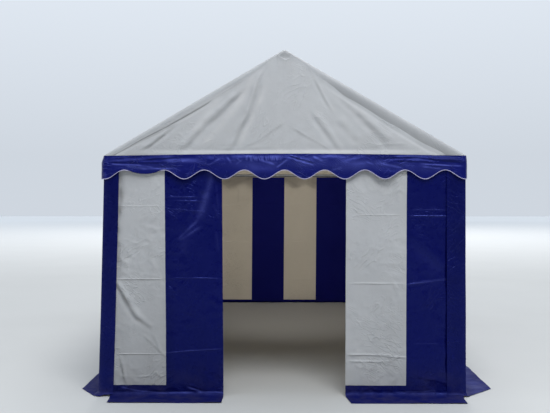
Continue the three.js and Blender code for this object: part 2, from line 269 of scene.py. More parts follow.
@dataclass(frozen=True)
class CoatedCloth:
    """Woven tent cloth with a plastic coat on it.

    Attributes:
        name: The material's name.
        colour: The coat's colour.
        shine: Its roughness where it is smoothest.
        glow: The share of the light that comes through the cloth.
        glow_colour: The colour of that light.
        soil: How much soil there is near the ground.
        specular: The coat's specular level.
        tint: Colour of its highlights.
        stitch: Length of a stitch with its gap.
        thread_pitch: Distance from thread to thread.
        thread_rise: Height of the threads.
        wave_rise: Height of the soft waves.
        stroke_rise: Height of the short creases.
        facet_rise: Height of the small facets.
        turns: Directions of the short creases, in degrees from level.
        light_paint: Colour of the painted highlights.
        crease_highlight: How strongly highlights are painted on the short creases.
        painted_shade_factor: How bright the colour is under full painted shade, in hollows and beside folds.
    """

    name: str
    colour: Colour
    shine: float
    glow: float
    glow_colour: Colour
    soil: float = 0.0
    specular: float = 0.3
    tint: Colour = (1.0, 1.0, 1.0)
    stitch: float = 0.005
    thread_pitch: float = 0.003
    thread_rise: float = 0.00012
    wave_rise: float = 0.006
    stroke_rise: float = 0.0045
    facet_rise: float = 0.003
    turns: tuple[float, float] = (48.0, -30.0)
    light_paint: Colour = (0.8, 0.81, 0.83)
    crease_highlight: float = 0.12
    painted_shade_factor: float = 0.5

    def make(self) -> bpy.types.Material:
        """Build the material.

        Returns:
            The material.
        """
        recipe = Recipe(self.name)
        flat = recipe.node("UVMap", uv_map="cut").outputs["UV"]
        place = recipe.node("TexCoord").outputs["Object"]
        threads = recipe.weave(flat, self.thread_pitch)
        cloud = recipe.noise(place, 1.7, 4.0)
        mottle = recipe.noise(place, 14.0, 5.0)
        share = recipe.spread(cloud, 0.3, 0.7, 0, 1)
        tone = recipe.blend(share, scaled(self.colour, 0.93), scaled(self.colour, 1.05))
        tone = recipe.blend(recipe.spread(mottle, 0.35, 0.75, 0, 0.5), tone, scaled(self.colour, 0.9))
        tone = recipe.blend(recipe.spread(threads, 0.0, 0.5, 0.1, 0), tone, scaled(self.colour, 0.6))
        height = recipe.node("SeparateXYZ", {0: place}).outputs["Z"]
        low = recipe.spread(height, 0.0, 0.3, self.soil, 0)
        stain = recipe.sum("MULTIPLY", low, recipe.spread(recipe.noise(place, 9.0, 6.0), 0.4, 0.7, 0, 1))
        tone = recipe.blend(stain, tone, linear(120, 112, 92))
        rough = recipe.spread(recipe.noise(place, 22.0, 4.0), 0.35, 0.7, self.shine, self.shine + 0.16)
        rough = recipe.sum("ADD", rough, recipe.spread(height, 0.005, 0.04, 0.6, 0))
        patches = recipe.spread(recipe.noise(place, 2.2, 2.0), 0.42, 0.66, 0.12, 1.0)
        waves = recipe.bump(recipe.noise(place, 4.0, 3.0), self.wave_rise)
        facets = recipe.sum("MULTIPLY", self.facets(recipe, place), patches)
        facets = recipe.bump(facets, self.facet_rise, waves)
        strokes = self.strokes(recipe, flat)
        normal = recipe.bump(threads, self.thread_rise, recipe.bump(strokes, self.stroke_rise, facets))
        # Painted light: the map's first channel and the short creases lighten the colour as painted
        # highlights, and its second channel darkens it as painted shade in hollows and beside folds.
        wear_and_painted_light = recipe.node("SeparateXYZ", {0: recipe.node("UVMap", uv_map="rub").outputs["UV"]})
        tone = recipe.blend(wear_and_painted_light.outputs["Y"], tone, scaled(self.colour, self.painted_shade_factor))
        painted_highlight = recipe.sum("MAXIMUM", wear_and_painted_light.outputs["X"], recipe.sum("MULTIPLY", strokes, self.crease_highlight))
        tone = recipe.blend(painted_highlight, tone, self.light_paint)
        sewn = self.stitches(recipe)
        tone = recipe.blend(recipe.sum("MULTIPLY", sewn, 0.55), tone, scaled(self.colour, 1.35))
        normal = recipe.bump(sewn, 0.0005, normal)
        recipe.feed(recipe.shader, {"Base Color": tone, "Roughness": rough, "Normal": normal})
        recipe.feed(recipe.shader, {"Specular IOR Level": self.specular, "Specular Tint": self.tint})
        if self.glow:
            through = recipe.node("BsdfTranslucent", {"Color": self.glow_colour, "Normal": normal})
            inputs = {0: self.glow, 1: recipe.shader.outputs[0], 2: through.outputs[0]}
            both = recipe.node("MixShader", inputs)
            recipe.feed(recipe.output, {"Surface": both.outputs[0]})
        return recipe.material

    def strokes(self, recipe: Recipe, flat: bpy.types.NodeSocket) -> bpy.types.NodeSocket:
        """Crease the cloth with short straight lines that run two ways, each in its own patches.

        Args:
            recipe: The material's nodes.
            flat: Flat coordinates in metres.

        Returns:
            The height, from 0 to 1.
        """
        parts = []
        for turn, scale, aside in zip(self.turns, (27.0, 34.0), (0.0, 7.3)):
            inputs = {"Vector": flat, "Location": (aside, aside, 0), "Rotation": (0, 0, math.radians(turn))}
            inputs["Scale"] = (2.8, 1, 1)
            turned = recipe.node("Mapping", inputs, vector_type="TEXTURE").outputs[0]
            inputs = {"Vector": turned, "Scale": scale, "Detail": 1.0, "Roughness": 0.5, "Offset": 1.0}
            lines = recipe.node(
                "TexNoise", inputs, noise_type="RIDGED_MULTIFRACTAL", normalize=True
            ).outputs["Fac"]
            beside = recipe.node("VectorMath", {0: flat, 1: (aside, 0.0, aside)}, operation="ADD").outputs[0]
            patch = recipe.spread(recipe.noise(beside, 3.1, 2.0), 0.51, 0.66, 0.0, 1.0)
            parts.append(recipe.sum("MULTIPLY", recipe.spread(lines, 1.0, 1.5, 0.0, 1.0), patch))
        return recipe.sum("MAXIMUM", *parts)

    def facets(self, recipe: Recipe, place: bpy.types.NodeSocket) -> bpy.types.NodeSocket:
        """Crumple the cloth into small flat facets with sharp creases between them.

        Args:
            recipe: The material's nodes.
            place: Coordinates in metres.

        Returns:
            The height, from 0 to about 1.
        """
        pull = recipe.node("TexNoise", {"Vector": place, "Scale": 5.0, "Detail": 2.0}).outputs["Color"]
        bent = recipe.node("VectorMath", {0: pull, "Scale": 0.12}, operation="SCALE").outputs[0]
        where = recipe.node("VectorMath", {0: place, 1: bent}, operation="ADD").outputs[0]
        parts = [
            recipe.node("TexVoronoi", {"Vector": where, "Scale": scale}, distance=kind).outputs["Distance"]
            for scale, kind in ((11.0, "EUCLIDEAN"), (27.0, "MANHATTAN"))
        ]
        return recipe.sum("MULTIPLY_ADD", parts[1], 0.25, parts[0])

    def stitches(self, recipe: Recipe) -> bpy.types.NodeSocket:
        """Sew a row of stitches beside each seam.

        Args:
            recipe: The material's nodes.

        Returns:
            1 on a stitch and 0 beside it.
        """
        seam = recipe.node("SeparateXYZ", {0: recipe.node("UVMap", uv_map="seam").outputs["UV"]})
        off = recipe.sum("ABSOLUTE", recipe.sum("SUBTRACT", seam.outputs["X"], 0.003))
        row = recipe.spread(off, 0.0003, 0.0008, 1.0, 0.0)
        wave = recipe.sum("SINE", recipe.sum("MULTIPLY", seam.outputs["Y"], 2 * math.pi / self.stitch))
        return recipe.sum("MULTIPLY", row, recipe.spread(wave, -0.6, -0.2, 0.0, 1.0))


@dataclass(frozen=True)
class Binding:
    """The ribbed satin tape along the valance's edge.

    Attributes:
        name: The material's name.
        colour: The tape's colour.
    """

    name: str
    colour: Colour

    def make(self) -> bpy.types.Material:
        """Build the material.

        Returns:
            The material.
        """
        recipe = Recipe(self.name)
        flat = recipe.node("UVMap", uv_map="cut").outputs["UV"]
        place = recipe.node("TexCoord").outputs["Object"]
        ribs = recipe.node("TexWave", {"Vector": flat, "Scale": 120.0}, bands_direction="X").outputs["Fac"]
        wear_and_painted_light = recipe.noise(place, 30.0, 4.0)
        tone = recipe.blend(recipe.spread(wear_and_painted_light, 0.4, 0.75, 0, 0.6), self.colour, scaled(self.colour, 0.75))
        tone = recipe.blend(recipe.spread(ribs, 0, 0.4, 0.25, 0), tone, scaled(self.colour, 0.55))
        rough = recipe.spread(wear_and_painted_light, 0.3, 0.7, 0.38, 0.55)
        recipe.feed(recipe.shader, {"Base Color": tone, "Roughness": rough})
        recipe.feed(recipe.shader, {"Normal": recipe.bump(ribs, 0.0003), "Sheen Weight": 0.15})
        return recipe.material


@dataclass(frozen=True)
class Galvanised:
    """Zinc-coated steel with its grains and dull spots.

    Attributes:
        name: The material's name.
        colour: The zinc's colour.
        roughness: Its roughness on the middle of its grains.
    """

    name: str
    colour: Colour
    roughness: float

    def make(self) -> bpy.types.Material:
        """Build the material.

        Returns:
            The material.
        """
        recipe = Recipe(self.name)
        place = recipe.node("TexCoord").outputs["Object"]
        grains = recipe.node("TexVoronoi", {"Vector": place, "Scale": 90.0}).outputs["Color"]
        grain = recipe.node("SeparateColor", {0: grains}).outputs[0]
        dull_and_painted_shade = recipe.noise(place, 12.0, 5.0)
        share = recipe.spread(grain, 0, 1, 0, 1)
        tone = recipe.blend(share, scaled(self.colour, 0.82), scaled(self.colour, 1.1))
        tone = recipe.blend(recipe.spread(dull_and_painted_shade, 0.5, 0.75, 0, 0.5), tone, scaled(self.colour, 0.6))
        rough = recipe.spread(grain, 0, 1, self.roughness - 0.08, self.roughness + 0.1)
        normal = recipe.bump(recipe.noise(place, 160.0, 4.0), 0.0002)
        recipe.feed(recipe.shader, {"Base Color": tone, "Roughness": rough, "Normal": normal})
        recipe.feed(recipe.shader, {"Metallic": 0.35})
        return recipe.material


@dataclass(frozen=True)
class StudioFloor:
    """Pale painted boards of a photo studio, with faint roller marks.

    Attributes:
        name: The material's name.
        colour: The paint's colour.
        far: Its colour far away.
    """

    name: str
    colour: Colour
    far: Colour

    def make(self) -> bpy.types.Material:
        """Build the material.

        Returns:
            The material.
        """
        recipe = Recipe(self.name)
        place = recipe.node("TexCoord").outputs["Object"]
        marks = recipe.noise(place, 0.8, 4.0)
        tone = recipe.blend(recipe.spread(marks, 0.3, 0.7, 0, 1), scaled(self.colour, 0.97), self.colour)
        far = recipe.node("VectorMath", {0: place}, operation="LENGTH").outputs["Value"]
        tone = recipe.blend(recipe.spread(far, 8.0, 50.0, 0, 1), tone, self.far)
        recipe.feed(recipe.shader, {"Base Color": tone, "Roughness": 0.85, "Specular IOR Level": 0.2})
        return recipe.material


@dataclass
class Wardrobe:
    """Every finish of the tent, made once.

    Attributes:
        white: The walls' white cloth, outside.
        white_inside: All the white cloth, inside.
        roof: The cover's and the gables' cloth, outside.
        blue: The walls' blue cloth, outside.
        blue_inside: All the blue cloth, inside.
        gloss_blue: The valance's cloth, outside.
        binding: The tape along the valance's edge.
        tube: The frame's tubes.
        joint: The frame's joints and bolts.
    """

    white: bpy.types.Material = field(init=False)
    white_inside: bpy.types.Material = field(init=False)
    roof: bpy.types.Material = field(init=False)
    blue: bpy.types.Material = field(init=False)
    blue_inside: bpy.types.Material = field(init=False)
    gloss_blue: bpy.types.Material = field(init=False)
    binding: bpy.types.Material = field(init=False)
    tube: bpy.types.Material = field(init=False)
    joint: bpy.types.Material = field(init=False)

    def __post_init__(self) -> None:
        """Make the materials."""
        white, blue, deep = linear(220, 223, 227), linear(5, 8, 77), linear(8, 12, 88)
        warm, dim, sky = linear(205, 198, 186), linear(22, 24, 100), (0.2, 0.27, 1.0)
        # Colour of the painted highlights on the blue cloth and the valance.
        painted_highlight = linear(70, 77, 150)
        self.white = CoatedCloth(
            "white_cloth_outside", white, 0.4, 0.4, warm, soil=0.25, stroke_rise=0.0036
        ).make()
        self.roof = CoatedCloth(
            "roof_cloth_outside", white, 0.38, 0.4, warm,
            wave_rise=0.003, stroke_rise=0.0025, facet_rise=0.0012,
        ).make()
        self.white_inside = CoatedCloth("white_cloth_inside", warm, 0.5, 0.6, warm).make()
        self.blue = CoatedCloth(
            "blue_cloth_outside", blue, 0.24, 0.08, dim, soil=0.1, specular=0.6, tint=sky, wave_rise=0.004,
            stroke_rise=0.0021, facet_rise=0.0016, light_paint=painted_highlight, crease_highlight=0.04, painted_shade_factor=0.35,
        ).make()
        self.blue_inside = CoatedCloth(
            "blue_cloth_inside", dim, 0.5, 0.2, dim, specular=0.1, tint=sky, light_paint=dim
        ).make()
        self.gloss_blue = CoatedCloth(
            "valance_cloth", deep, 0.34, 0.0, dim, specular=0.6, tint=sky, wave_rise=0.004, stroke_rise=0.005,
            turns=(8.0, -16.0), light_paint=painted_highlight, crease_highlight=0.3,
        ).make()
        self.binding = Binding("valance_binding", linear(188, 184, 216)).make()
        self.tube = Galvanised("zinc_tube", linear(146, 150, 155), 0.5).make()
        self.joint = Galvanised("zinc_joint", linear(140, 146, 150), 0.52).make()


# Folds and the flat cuts of cloth


@dataclass(frozen=True)
class Fold:
    """A straight fold in flat cloth.

    Attributes:
        start: Where it starts, across the cloth and up from the ground.
        end: Where it ends.
        rise: How far it stands out, or in if it is under 0.
        width: Half its width.
        spread: How many times as wide it is at its end.
        rub: How much highlight is painted on its crest, up to 1, or how much shade if it is under 0, down to
            -1.
    """

    start: Spot
    end: Spot
    rise: float
    width: float
    spread: float = 1.0
    rub: float = 0.0

    def at(self, across: float, up: float) -> float:
        """Give the fold's shape at a point.

        Args:
            across: Place across the cloth.
            up: Height above the ground.

        Returns:
            1 on its crest, down to 0 beside it.
        """
        run_x, run_y = self.end[0] - self.start[0], self.end[1] - self.start[1]
        length = math.hypot(run_x, run_y)
        off_x, off_y = across - self.start[0], up - self.start[1]
        along = (off_x * run_x + off_y * run_y) / length**2
        if not -0.15 < along < 1.15:
            return 0.0
        width = self.width * (1 + (self.spread - 1) * min(1.0, max(0.0, along)))
        wander = noise.noise(Vector((along * length * 5, self.start[0] * 7, self.start[1] * 7)))
        beside = (off_x * run_y - off_y * run_x) / length + wander * self.width * 0.7
        if abs(beside) > 3 * width:
            return 0.0
        ends = smooth((along + 0.15) / 0.3) * smooth((1.15 - along) / 0.3)
        strength = 0.85 + 0.7 * noise.noise(Vector((along * length * 11, self.end[0] * 9, self.end[1] * 9)))
        return math.exp(-((beside / width) ** 2)) * ends * strength


@dataclass(frozen=True)
class Relief:
    """How far a cloth stands from its flat place.

    Attributes:
        seed: Sets this cloth's own pattern.
        billow: Height of the broad waves.
        rumple: Height of the crumpled patches' creases.
        folds: Single folds.
        size: Width of the broad waves.
        grain: Distance between the crumpled patches' creases.
        stretch: How many times as wide as high the waves and patches are.
    """

    seed: float
    billow: float
    rumple: float
    folds: tuple[Fold, ...] = ()
    size: float = 0.55
    grain: float = 0.13
    stretch: float = 1.0

    def at(self, across: float, up: float) -> float:
        """Give the cloth's height at a point.

        Args:
            across: Place across the cloth.
            up: Height above the ground.

        Returns:
            The height in metres.
        """
        spot = Vector((across / self.size / self.stretch, up / self.size, self.seed))
        broad = noise.noise(spot) + 0.4 * noise.noise(spot * 2.3)
        near = Vector((across / self.grain / self.stretch, up / self.grain, self.seed + 5))
        ridges = noise.ridged_multi_fractal(near, 0.8, 2.1, 3, 1.0, 1.8) - 0.9
        patch = 0.2 + 0.8 * smooth((noise.noise(near * 0.3) + 0.12) / 0.35)
        single = sum(fold.rise * fold.at(across, up) for fold in self.folds)
        return self.billow * broad + self.rumple * ridges * patch + single

    def rub_at(self, across: float, up: float) -> Spot:
        """Give how much painted highlight and painted shade the cloth has at a point.

        Args:
            across: Place across the cloth.
            up: Height above the ground.

        Returns:
            How much painted highlight and how much painted shade it has, each from 0 to 1.
        """
        marks = [fold.rub * max(0.0, fold.at(across, up)) for fold in self.folds if fold.rub]
        painted_highlight, dull_and_painted_shade = sum(mark for mark in marks if mark > 0), -sum(mark for mark in marks if mark < 0)
        return min(1.0, painted_highlight), min(1.0, dull_and_painted_shade)


def level_crease(
    start: float, end: float, up: float, rise: float = 0.0028, drop: float = 0.0, width: float = 0.0045,
    rub: float = 0.2,
) -> Fold:
    """Make a crease from how the cloth was packed, level but for a drop at its end, with a highlight painted
    along it.
    """
    margin = 0.12 * (end - start)
    return Fold((start + margin, up), (end - margin, up - drop), rise, width, rub=rub)


def shade(start: Spot, end: Spot, width: float, rub: float) -> Fold:
    """Make a streak of painted highlight that doesn't stand out, or of painted shade if its painted light is
    under 0.
    """
    return Fold(start, end, 0.0, width, rub=rub)


def pleat(
    start: Spot, end: Spot, rise: float, width: float, spread: float = 1.0, rub: float = 0.0
) -> tuple[Fold, ...]:
    """Make a soft pleat: a ridge on the upper side of a line and a hollow on its lower side.

    Args:
        start: Where the line starts.
        end: Where it ends, lower than its start.
        rise: Height of the ridge.
        width: Half the ridge's width.
        spread: How many times as wide it is at its end.
        rub: How much highlight is painted on the slope between the ridge and the hollow, or how much shade if
            it is under 0.

    Returns:
        The ridge and the hollow, and the streak of painted light if there is one.
    """
    run_x, run_y = end[0] - start[0], end[1] - start[1]
    length = math.hypot(run_x, run_y)
    off = 0.85 * width
    turn = math.copysign(off / length, run_x)
    up_x, up_y = -run_y * turn, run_x * turn

    def moved(spot: Spot, way: float) -> Spot:
        """Shift a spot to the line's upper side, or to its lower one."""
        return spot[0] + way * up_x, spot[1] + way * up_y

    ridge = Fold(moved(start, 1), moved(end, spread), rise, width, spread)
    hollow = Fold(moved(start, -1), moved(end, -spread), -0.8 * rise, width * 0.8, spread)
    return (ridge, hollow, Fold(start, end, 0.0, off, spread, rub)) if rub else (ridge, hollow)


def slice_by_plane(
    shape: bmesh.types.BMesh, spot: Sequence[float], normal: Sequence[float], clear_outer: bool = False
) -> None:
    """Cut a shape along a plane.

    Args:
        shape: The shape.
        spot: A point of the plane.
        normal: The plane's normal.
        clear_outer: Whether the side that the normal points to is taken off.
    """
    everything = shape.verts[:] + shape.edges[:] + shape.faces[:]
    bmesh.ops.bisect_plane(
        shape, geom=everything, dist=1e-5, plane_co=spot, plane_no=normal, clear_outer=clear_outer
    )


@dataclass
class Cut:
    """A flat cut of cloth and how it is hung.

    Attributes:
        name: The piece's name.
        across: Ticks across it.
        down: Ticks down it.
        place: Gives a flat point's place on the tent.
        outside: Finish of its outer face.
        inside: Finish of its inner face.
        keep: Says whether a spot belongs to the cut.
        seams: Gives a spot's distance from the nearest seam, and its place along that seam.
        painted_light_map: Gives how much painted highlight and painted shade a spot has.
        lines: Lines to cut along, each two flat points.
        trim: Height under which the hung cloth is cut off.
        closed: Whether its edges meet.
        thickness: Thickness of the cloth.
        area: Area of the flat cut, known once it is laid out.
    """

    name: str
    across: Sequence[float]
    down: Sequence[float]
    place: Place
    outside: bpy.types.Material
    inside: bpy.types.Material
    keep: Callable[[float, float], bool] | None = None
    seams: Callable[[float, float], Spot] = lambda across, down: (1.0, down)
    painted_light_map: Callable[[float, float], Spot] = lambda across, down: (0.0, 0.0)
    lines: Sequence[tuple[Spot, Spot]] = ()
    trim: float | None = None
    closed: bool = False
    thickness: float = CLOTH
    area: float = field(default=0.0, init=False)

    def lay_flat(self) -> bmesh.types.BMesh:
        """Lay the cloth out flat and cut its outline.

        Returns:
            The flat cloth, with its cut kept as a UV map.
        """
        cloth = bmesh.new()
        columns, rows = len(self.across) - 1, len(self.down) - 1
        bmesh.ops.create_grid(cloth, x_segments=columns, y_segments=rows, size=0.5)
        for vert in cloth.verts:
            vert.co.x = self.across[round((vert.co.x + 0.5) * columns)]
            vert.co.y = self.down[round((vert.co.y + 0.5) * rows)]
        for start, end in self.lines:
            run = Vector((end[0] - start[0], end[1] - start[1], 0))
            slice_by_plane(cloth, (*start, 0), run.cross(Vector((0, 0, 1))))
        if self.keep is not None:
            spare = [f for f in cloth.faces if not self.keep(*f.calc_center_median().xy)]
            bmesh.ops.delete(cloth, geom=spare, context="FACES")
        bmesh.ops.reverse_faces(cloth, faces=cloth.faces)
        self.area = sum(face.calc_area() for face in cloth.faces)
        # Besides the cut, the cloth keeps its seams and its amounts of painted highlight and painted shade as
        # UV maps.
        for name in ("cut", "seam", "rub"):
            cloth.loops.layers.uv.new(name)
        chart, seams, painted_light_map = (cloth.loops.layers.uv[name] for name in ("cut", "seam", "rub"))
        for vert in cloth.verts:
            sewn, light_paint = self.seams(vert.co.x, vert.co.y), self.painted_light_map(vert.co.x, vert.co.y)
            for loop in vert.link_loops:
                loop[chart].uv = (vert.co.x, -vert.co.y)
                loop[seams].uv = sewn
                loop[painted_light_map].uv = light_paint
        return cloth

    def hang(self) -> bpy.types.Object:
        """Hang the cloth and give it its thickness and finish.

        Returns:
            The piece.
        """
        cloth = self.lay_flat()
        for vert in cloth.verts:
            vert.co = self.place(vert.co.x, vert.co.y)
        if self.closed:
            bmesh.ops.remove_doubles(cloth, verts=cloth.verts, dist=1e-4)
        if self.trim is not None:
            slice_by_plane(cloth, (0, 0, self.trim), (0, 0, -1), clear_outer=True)
        piece = as_object(self.name, cloth, (self.outside, self.inside))
        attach(piece, "root")
        shell = piece.modifiers.new("thickness", "SOLIDIFY")
        shell.thickness = self.thickness
        shell.offset = -1
        shell.material_offset = 1
        settle(piece)
        return piece


def as_object(
    name: str, shape: bmesh.types.BMesh, finishes: Sequence[bpy.types.Material]
) -> bpy.types.Object:
    """Make an object of a shape, at the origin.

    Args:
        name: The object's name.
        shape: Its shape, which is used up.
        finishes: Its materials.

    Returns:
        The object.
    """
    mesh = bpy.data.meshes.new(name)
    shape.to_mesh(mesh)
    shape.free()
    for finish in finishes:
        mesh.materials.append(finish)
    made = bpy.data.objects.new(name, mesh)
    bpy.context.scene.collection.objects.link(made)
    return made


def report(piece: bpy.types.Object) -> None:
    """Log a finished piece with its number of triangles."""
    LOG.info("%s: %d triangles", piece.name, sum(len(face.vertices) - 2 for face in piece.data.polygons))


def soften(mesh: bpy.types.Mesh) -> None:
    """Shade a mesh smoothly, up to its sharp edges."""
    mesh.shade_smooth()
    mesh.set_sharp_from_angle(angle=SHARP_ANGLE)


def settle(piece: bpy.types.Object) -> None:
    """Apply a piece's modifiers, smooth its faces and report it.

    Args:
        piece: The piece.
    """
    bpy.context.view_layer.update()
    graph = bpy.context.evaluated_depsgraph_get()
    mesh = bpy.data.meshes.new_from_object(piece.evaluated_get(graph))
    piece.modifiers.clear()
    old, piece.data = piece.data, mesh
    bpy.data.meshes.remove(old)
    mesh.name = piece.name
    soften(mesh)
    report(piece)


# The tent's sides and how its cloth goes round them


class Side(Enum):
    """A side of the tent, with its outward direction and the direction to its viewer's right."""

    FRONT = ((0, -1), (1, 0))
    RIGHT = ((1, 0), (0, 1))
    BACK = ((0, 1), (-1, 0))
    LEFT = ((-1, 0), (0, -1))

    @property
    def outward(self) -> Vector:
        """The direction away from the tent."""
        return Vector((*self.value[0], 0))

    @property
    def rightward(self) -> Vector:
        """The direction to the right of someone who faces this side from outside."""
        return Vector((*self.value[1], 0))

    @property
    def is_end(self) -> bool:
        """Whether this is the front or the back."""
        return self in (Side.FRONT, Side.BACK)

    @property
    def half(self) -> float:
        """Half the side's length, along the frame."""
        return FRAME_X if self.is_end else FRAME_Y

    @property
    def reach(self) -> float:
        """Distance from the tent's middle to the frame's face on this side."""
        return FRAME_Y if self.is_end else FRAME_X

    def around(self, across: float, radius: float) -> tuple[Vector, Vector]:
        """Follow this side on the ground, and on round its corners.

        Args:
            across: Distance from the side's middle, to the right, along the path.
            radius: Radius of the corners.

        Returns:
            The point on the frame's face, and the outward direction there.
        """
        turn = math.copysign(1.0, across) * self.rightward
        past = abs(across) - (self.half - radius)
        arc = min(max(past / radius, 0.0), math.pi / 2)
        beyond = max(0.0, past - radius * math.pi / 2)
        along = min(abs(across), self.half - radius) + radius * math.sin(arc)
        out = self.reach - radius + radius * math.cos(arc) - beyond
        return self.outward * out + turn * along, self.outward * math.cos(arc) + turn * math.sin(arc)


@dataclass(frozen=True)
class Drop:
    """How a wall hangs: straight down, round a bend and out over the ground as a skirt.

    Attributes:
        skirt: How far the skirt reaches over the ground.
        bend: Radius of the bend.
    """

    skirt: float
    bend: float = 0.05

    @property
    def straight(self) -> float:
        """Length of cloth above the bend."""
        return WALL_TOP - self.bend

    @property
    def crease(self) -> float:
        """Length of cloth down to the middle of the bend."""
        return self.straight + self.bend * math.pi / 4

    @property
    def length(self) -> float:
        """Length of the whole cloth."""
        return self.straight + self.bend * math.pi / 2 + self.skirt - self.bend

    def at(self, down: float) -> tuple[float, float, float]:
        """Follow the cloth down.

        Args:
            down: Length of cloth from its top.

        Returns:
            How far out it is, how high, and the angle by which it has turned from upright.
        """
        angle = min(max((down - self.straight) / self.bend, 0.0), math.pi / 2)
        flat = max(0.0, down - self.straight - self.bend * math.pi / 2)
        height = WALL_TOP - min(down, self.straight) - self.bend * math.sin(angle)
        return self.bend * (1 - math.cos(angle)) + flat, height, angle

    def ticks(self, pitch: float, marks: Iterable[float] = ()) -> list[float]:
        """Divide the cloth down its length, finely round the bend."""
        bend = [self.straight + self.bend * math.pi / 2 * i / 5 for i in range(6)]
        return ticks(0.0, self.length, pitch, [*bend, self.crease, *marks])


# Walls


class Dye(Enum):
    """The colour of a stripe."""

    WHITE = "white"
    BLUE = "blue"


@dataclass
class StripedWall:
    """A wall of stripes, cut as a white cloth and a blue one that overlap at their seams.

    Attributes:
        name: The wall's name, as its solids have it.
        side: The side that it hangs on.
        stripes: Each stripe's left edge, right edge and dye, in order.
        relief: How the cloth stands from its flat place.
        drop: How it hangs.
        wardrobe: The tent's finishes.
        skirt_ends: Where the skirt starts and stops, each at the bend and at its outer edge.
        out: How far it hangs from the frame.
        pitch: Step of its cloth.
        free_edges: Edges with a hem.
        drift: How far the foot of the wall is pushed to the right.
        kick: Height of the seam over the kick band.
        flat_top: Length of cloth under the eave in which its folds grow.
        flat_end: Width of cloth beside a corner leg in which they grow.
        corner: Radius of the bend round a corner leg.
        laid: Share of its folds' height that is left on the ground.
        narrow: Width under which a level fold has a fine step.
        fine: That step.
    """

    name: str
    side: Side
    stripes: Sequence[tuple[float, float, Dye]]
    relief: Relief
    drop: Drop
    wardrobe: Wardrobe
    skirt_ends: tuple[tuple[float, float], tuple[float, float]]
    out: float = PANEL_OUT
    pitch: float = 0.0105
    free_edges: tuple[float, ...] = ()
    drift: float = 0.0
    kick: float = KICK_SEAM
    flat_top: float = 0.25
    flat_end: float = 0.12
    corner: float = 0.012
    laid: float = 0.6
    narrow: float = 0.01
    fine: float = 0.003

    def rise_at(self, across: float, up: float) -> float:
        """Give the cloth's height over its flat place.

        Args:
            across: Place across the wall.
            up: Height above the ground.

        Returns:
            The height in metres.
        """
        under_valance = smooth((WALL_TOP - up) / self.flat_top)
        at_leg = smooth((self.side.half - abs(across)) / self.flat_end)
        rise = self.relief.at(across, up) * (0.1 + 0.9 * under_valance) * (0.15 + 0.85 * at_leg)
        hem = sum(smooth((HEM_WIDTH - abs(across - edge)) / 0.002 + 0.5) for edge in self.free_edges)
        return rise + HEM_RISE * hem

    def stand_off(self, across: float, up: float) -> float:
        """Give how far the wall is from its frame before its folds."""
        return self.out

    def place(self, across: float, down: float, over: float) -> Vector:
        """Hang one point of the wall.

        Args:
            across: Place across the flat cloth.
            down: Place down the flat cloth.
            over: How far the point lies over the other cloth of the wall.

        Returns:
            The point on the tent.
        """
        out, up, angle = self.drop.at(down)
        spot, outward = self.side.around(across, self.corner)
        flat = math.sin(angle)
        rise = self.rise_at(across, up)
        if flat:
            rise = abs(rise) * self.laid + flat * self.skirt_wave(across, out)
        rise += self.foot_crinkle(across, down)
        normal = outward * math.cos(angle) + Vector((0, 0, math.sin(angle)))
        sway = self.side.rightward * self.drift * (1 - up / WALL_TOP)
        spot = spot + outward * (self.stand_off(across, up) + out) + normal * (rise + over)
        return spot + sway + Vector((0, 0, up + GROUND * flat))

    def foot_crinkle(self, across: float, down: float) -> float:
        """Crinkle the cloth where it bends onto the ground.

        Args:
            across: Place across the flat cloth.
            down: Place down the flat cloth.

        Returns:
            How far it is pushed out.
        """
        spot = Vector((across * 9, down * 14, self.relief.seed + 3))
        near = math.exp(-(((down - self.drop.crease) / 0.06) ** 2))
        ridges = noise.ridged_multi_fractal(spot, 0.9, 2.0, 2, 1.0, 1.6)
        return 0.0045 * near * max(0.0, ridges - 0.5)

    def skirt_wave(self, across: float, out: float) -> float:
        """Give how far the skirt lifts from the ground."""
        wave = noise.noise(Vector((across * 5, out * 6, self.relief.seed + 9)))
        return 0.009 * max(0.0, wave + 0.25) * smooth(out / 0.12)

    def in_skirt(self, across: float, down: float) -> bool:
        """Say whether a spot is above the middle of the bend or between the skirt's two ends.

        Args:
            across: Place across the flat cloth.
            down: Place down the flat cloth.

        Returns:
            Whether it belongs to the cloth.
        """
        if down <= self.drop.crease:
            return True
        share = (down - self.drop.crease) / (self.drop.length - self.drop.crease)
        (start, start_edge), (stop, stop_edge) = self.skirt_ends
        return start + (start_edge - start) * share < across < stop + (stop_edge - stop) * share

    def fold_ticks(self) -> list[float]:
        """Give close ticks down the cloth where narrow folds cross it level.

        Returns:
            The ticks.
        """
        close, most_drop, margin = [], 0.035, 0.009
        for fold in self.relief.folds:
            low, high = sorted((WALL_TOP - fold.start[1], WALL_TOP - fold.end[1]))
            if fold.width < self.narrow and high - low < most_drop:
                close += ticks(low - margin, high + margin, self.fine)
        return close

    def make(self) -> None:
        """Build the white cloth and the blue one."""
        low, high = self.stripes[0][0], self.stripes[-1][1]
        seam_down = WALL_TOP - self.kick
        (start, start_edge), (stop, stop_edge) = self.skirt_ends
        drop, close = self.drop, self.fold_ticks()
        seams = [edge for a, b, _ in self.stripes for edge in (a, b)]
        laps = [edge + step for edge in seams for step in (-LAP, LAP)]
        sewn = [*seams[1:-1], *(edge + math.copysign(HEM_WIDTH, -edge) for edge in self.free_edges)]
        hems = [
            edge + math.copysign(HEM_WIDTH + step, -edge)
            for edge in self.free_edges
            for step in (-0.001, 0.001)
        ]

        def stripe_at(across: float, over: float, dye: Dye) -> bool:
            """Say whether a place is in a stripe of this dye, or as near to one as its lap."""
            return any(a - over < across < b + over for a, b, own in self.stripes if own is dye)

        def keep_white(across: float, down: float) -> bool:
            """Say whether a spot belongs to the top hem or to a white stripe."""
            return down < WALL_HEM or (stripe_at(across, LAP, Dye.WHITE) and down < seam_down + LAP)

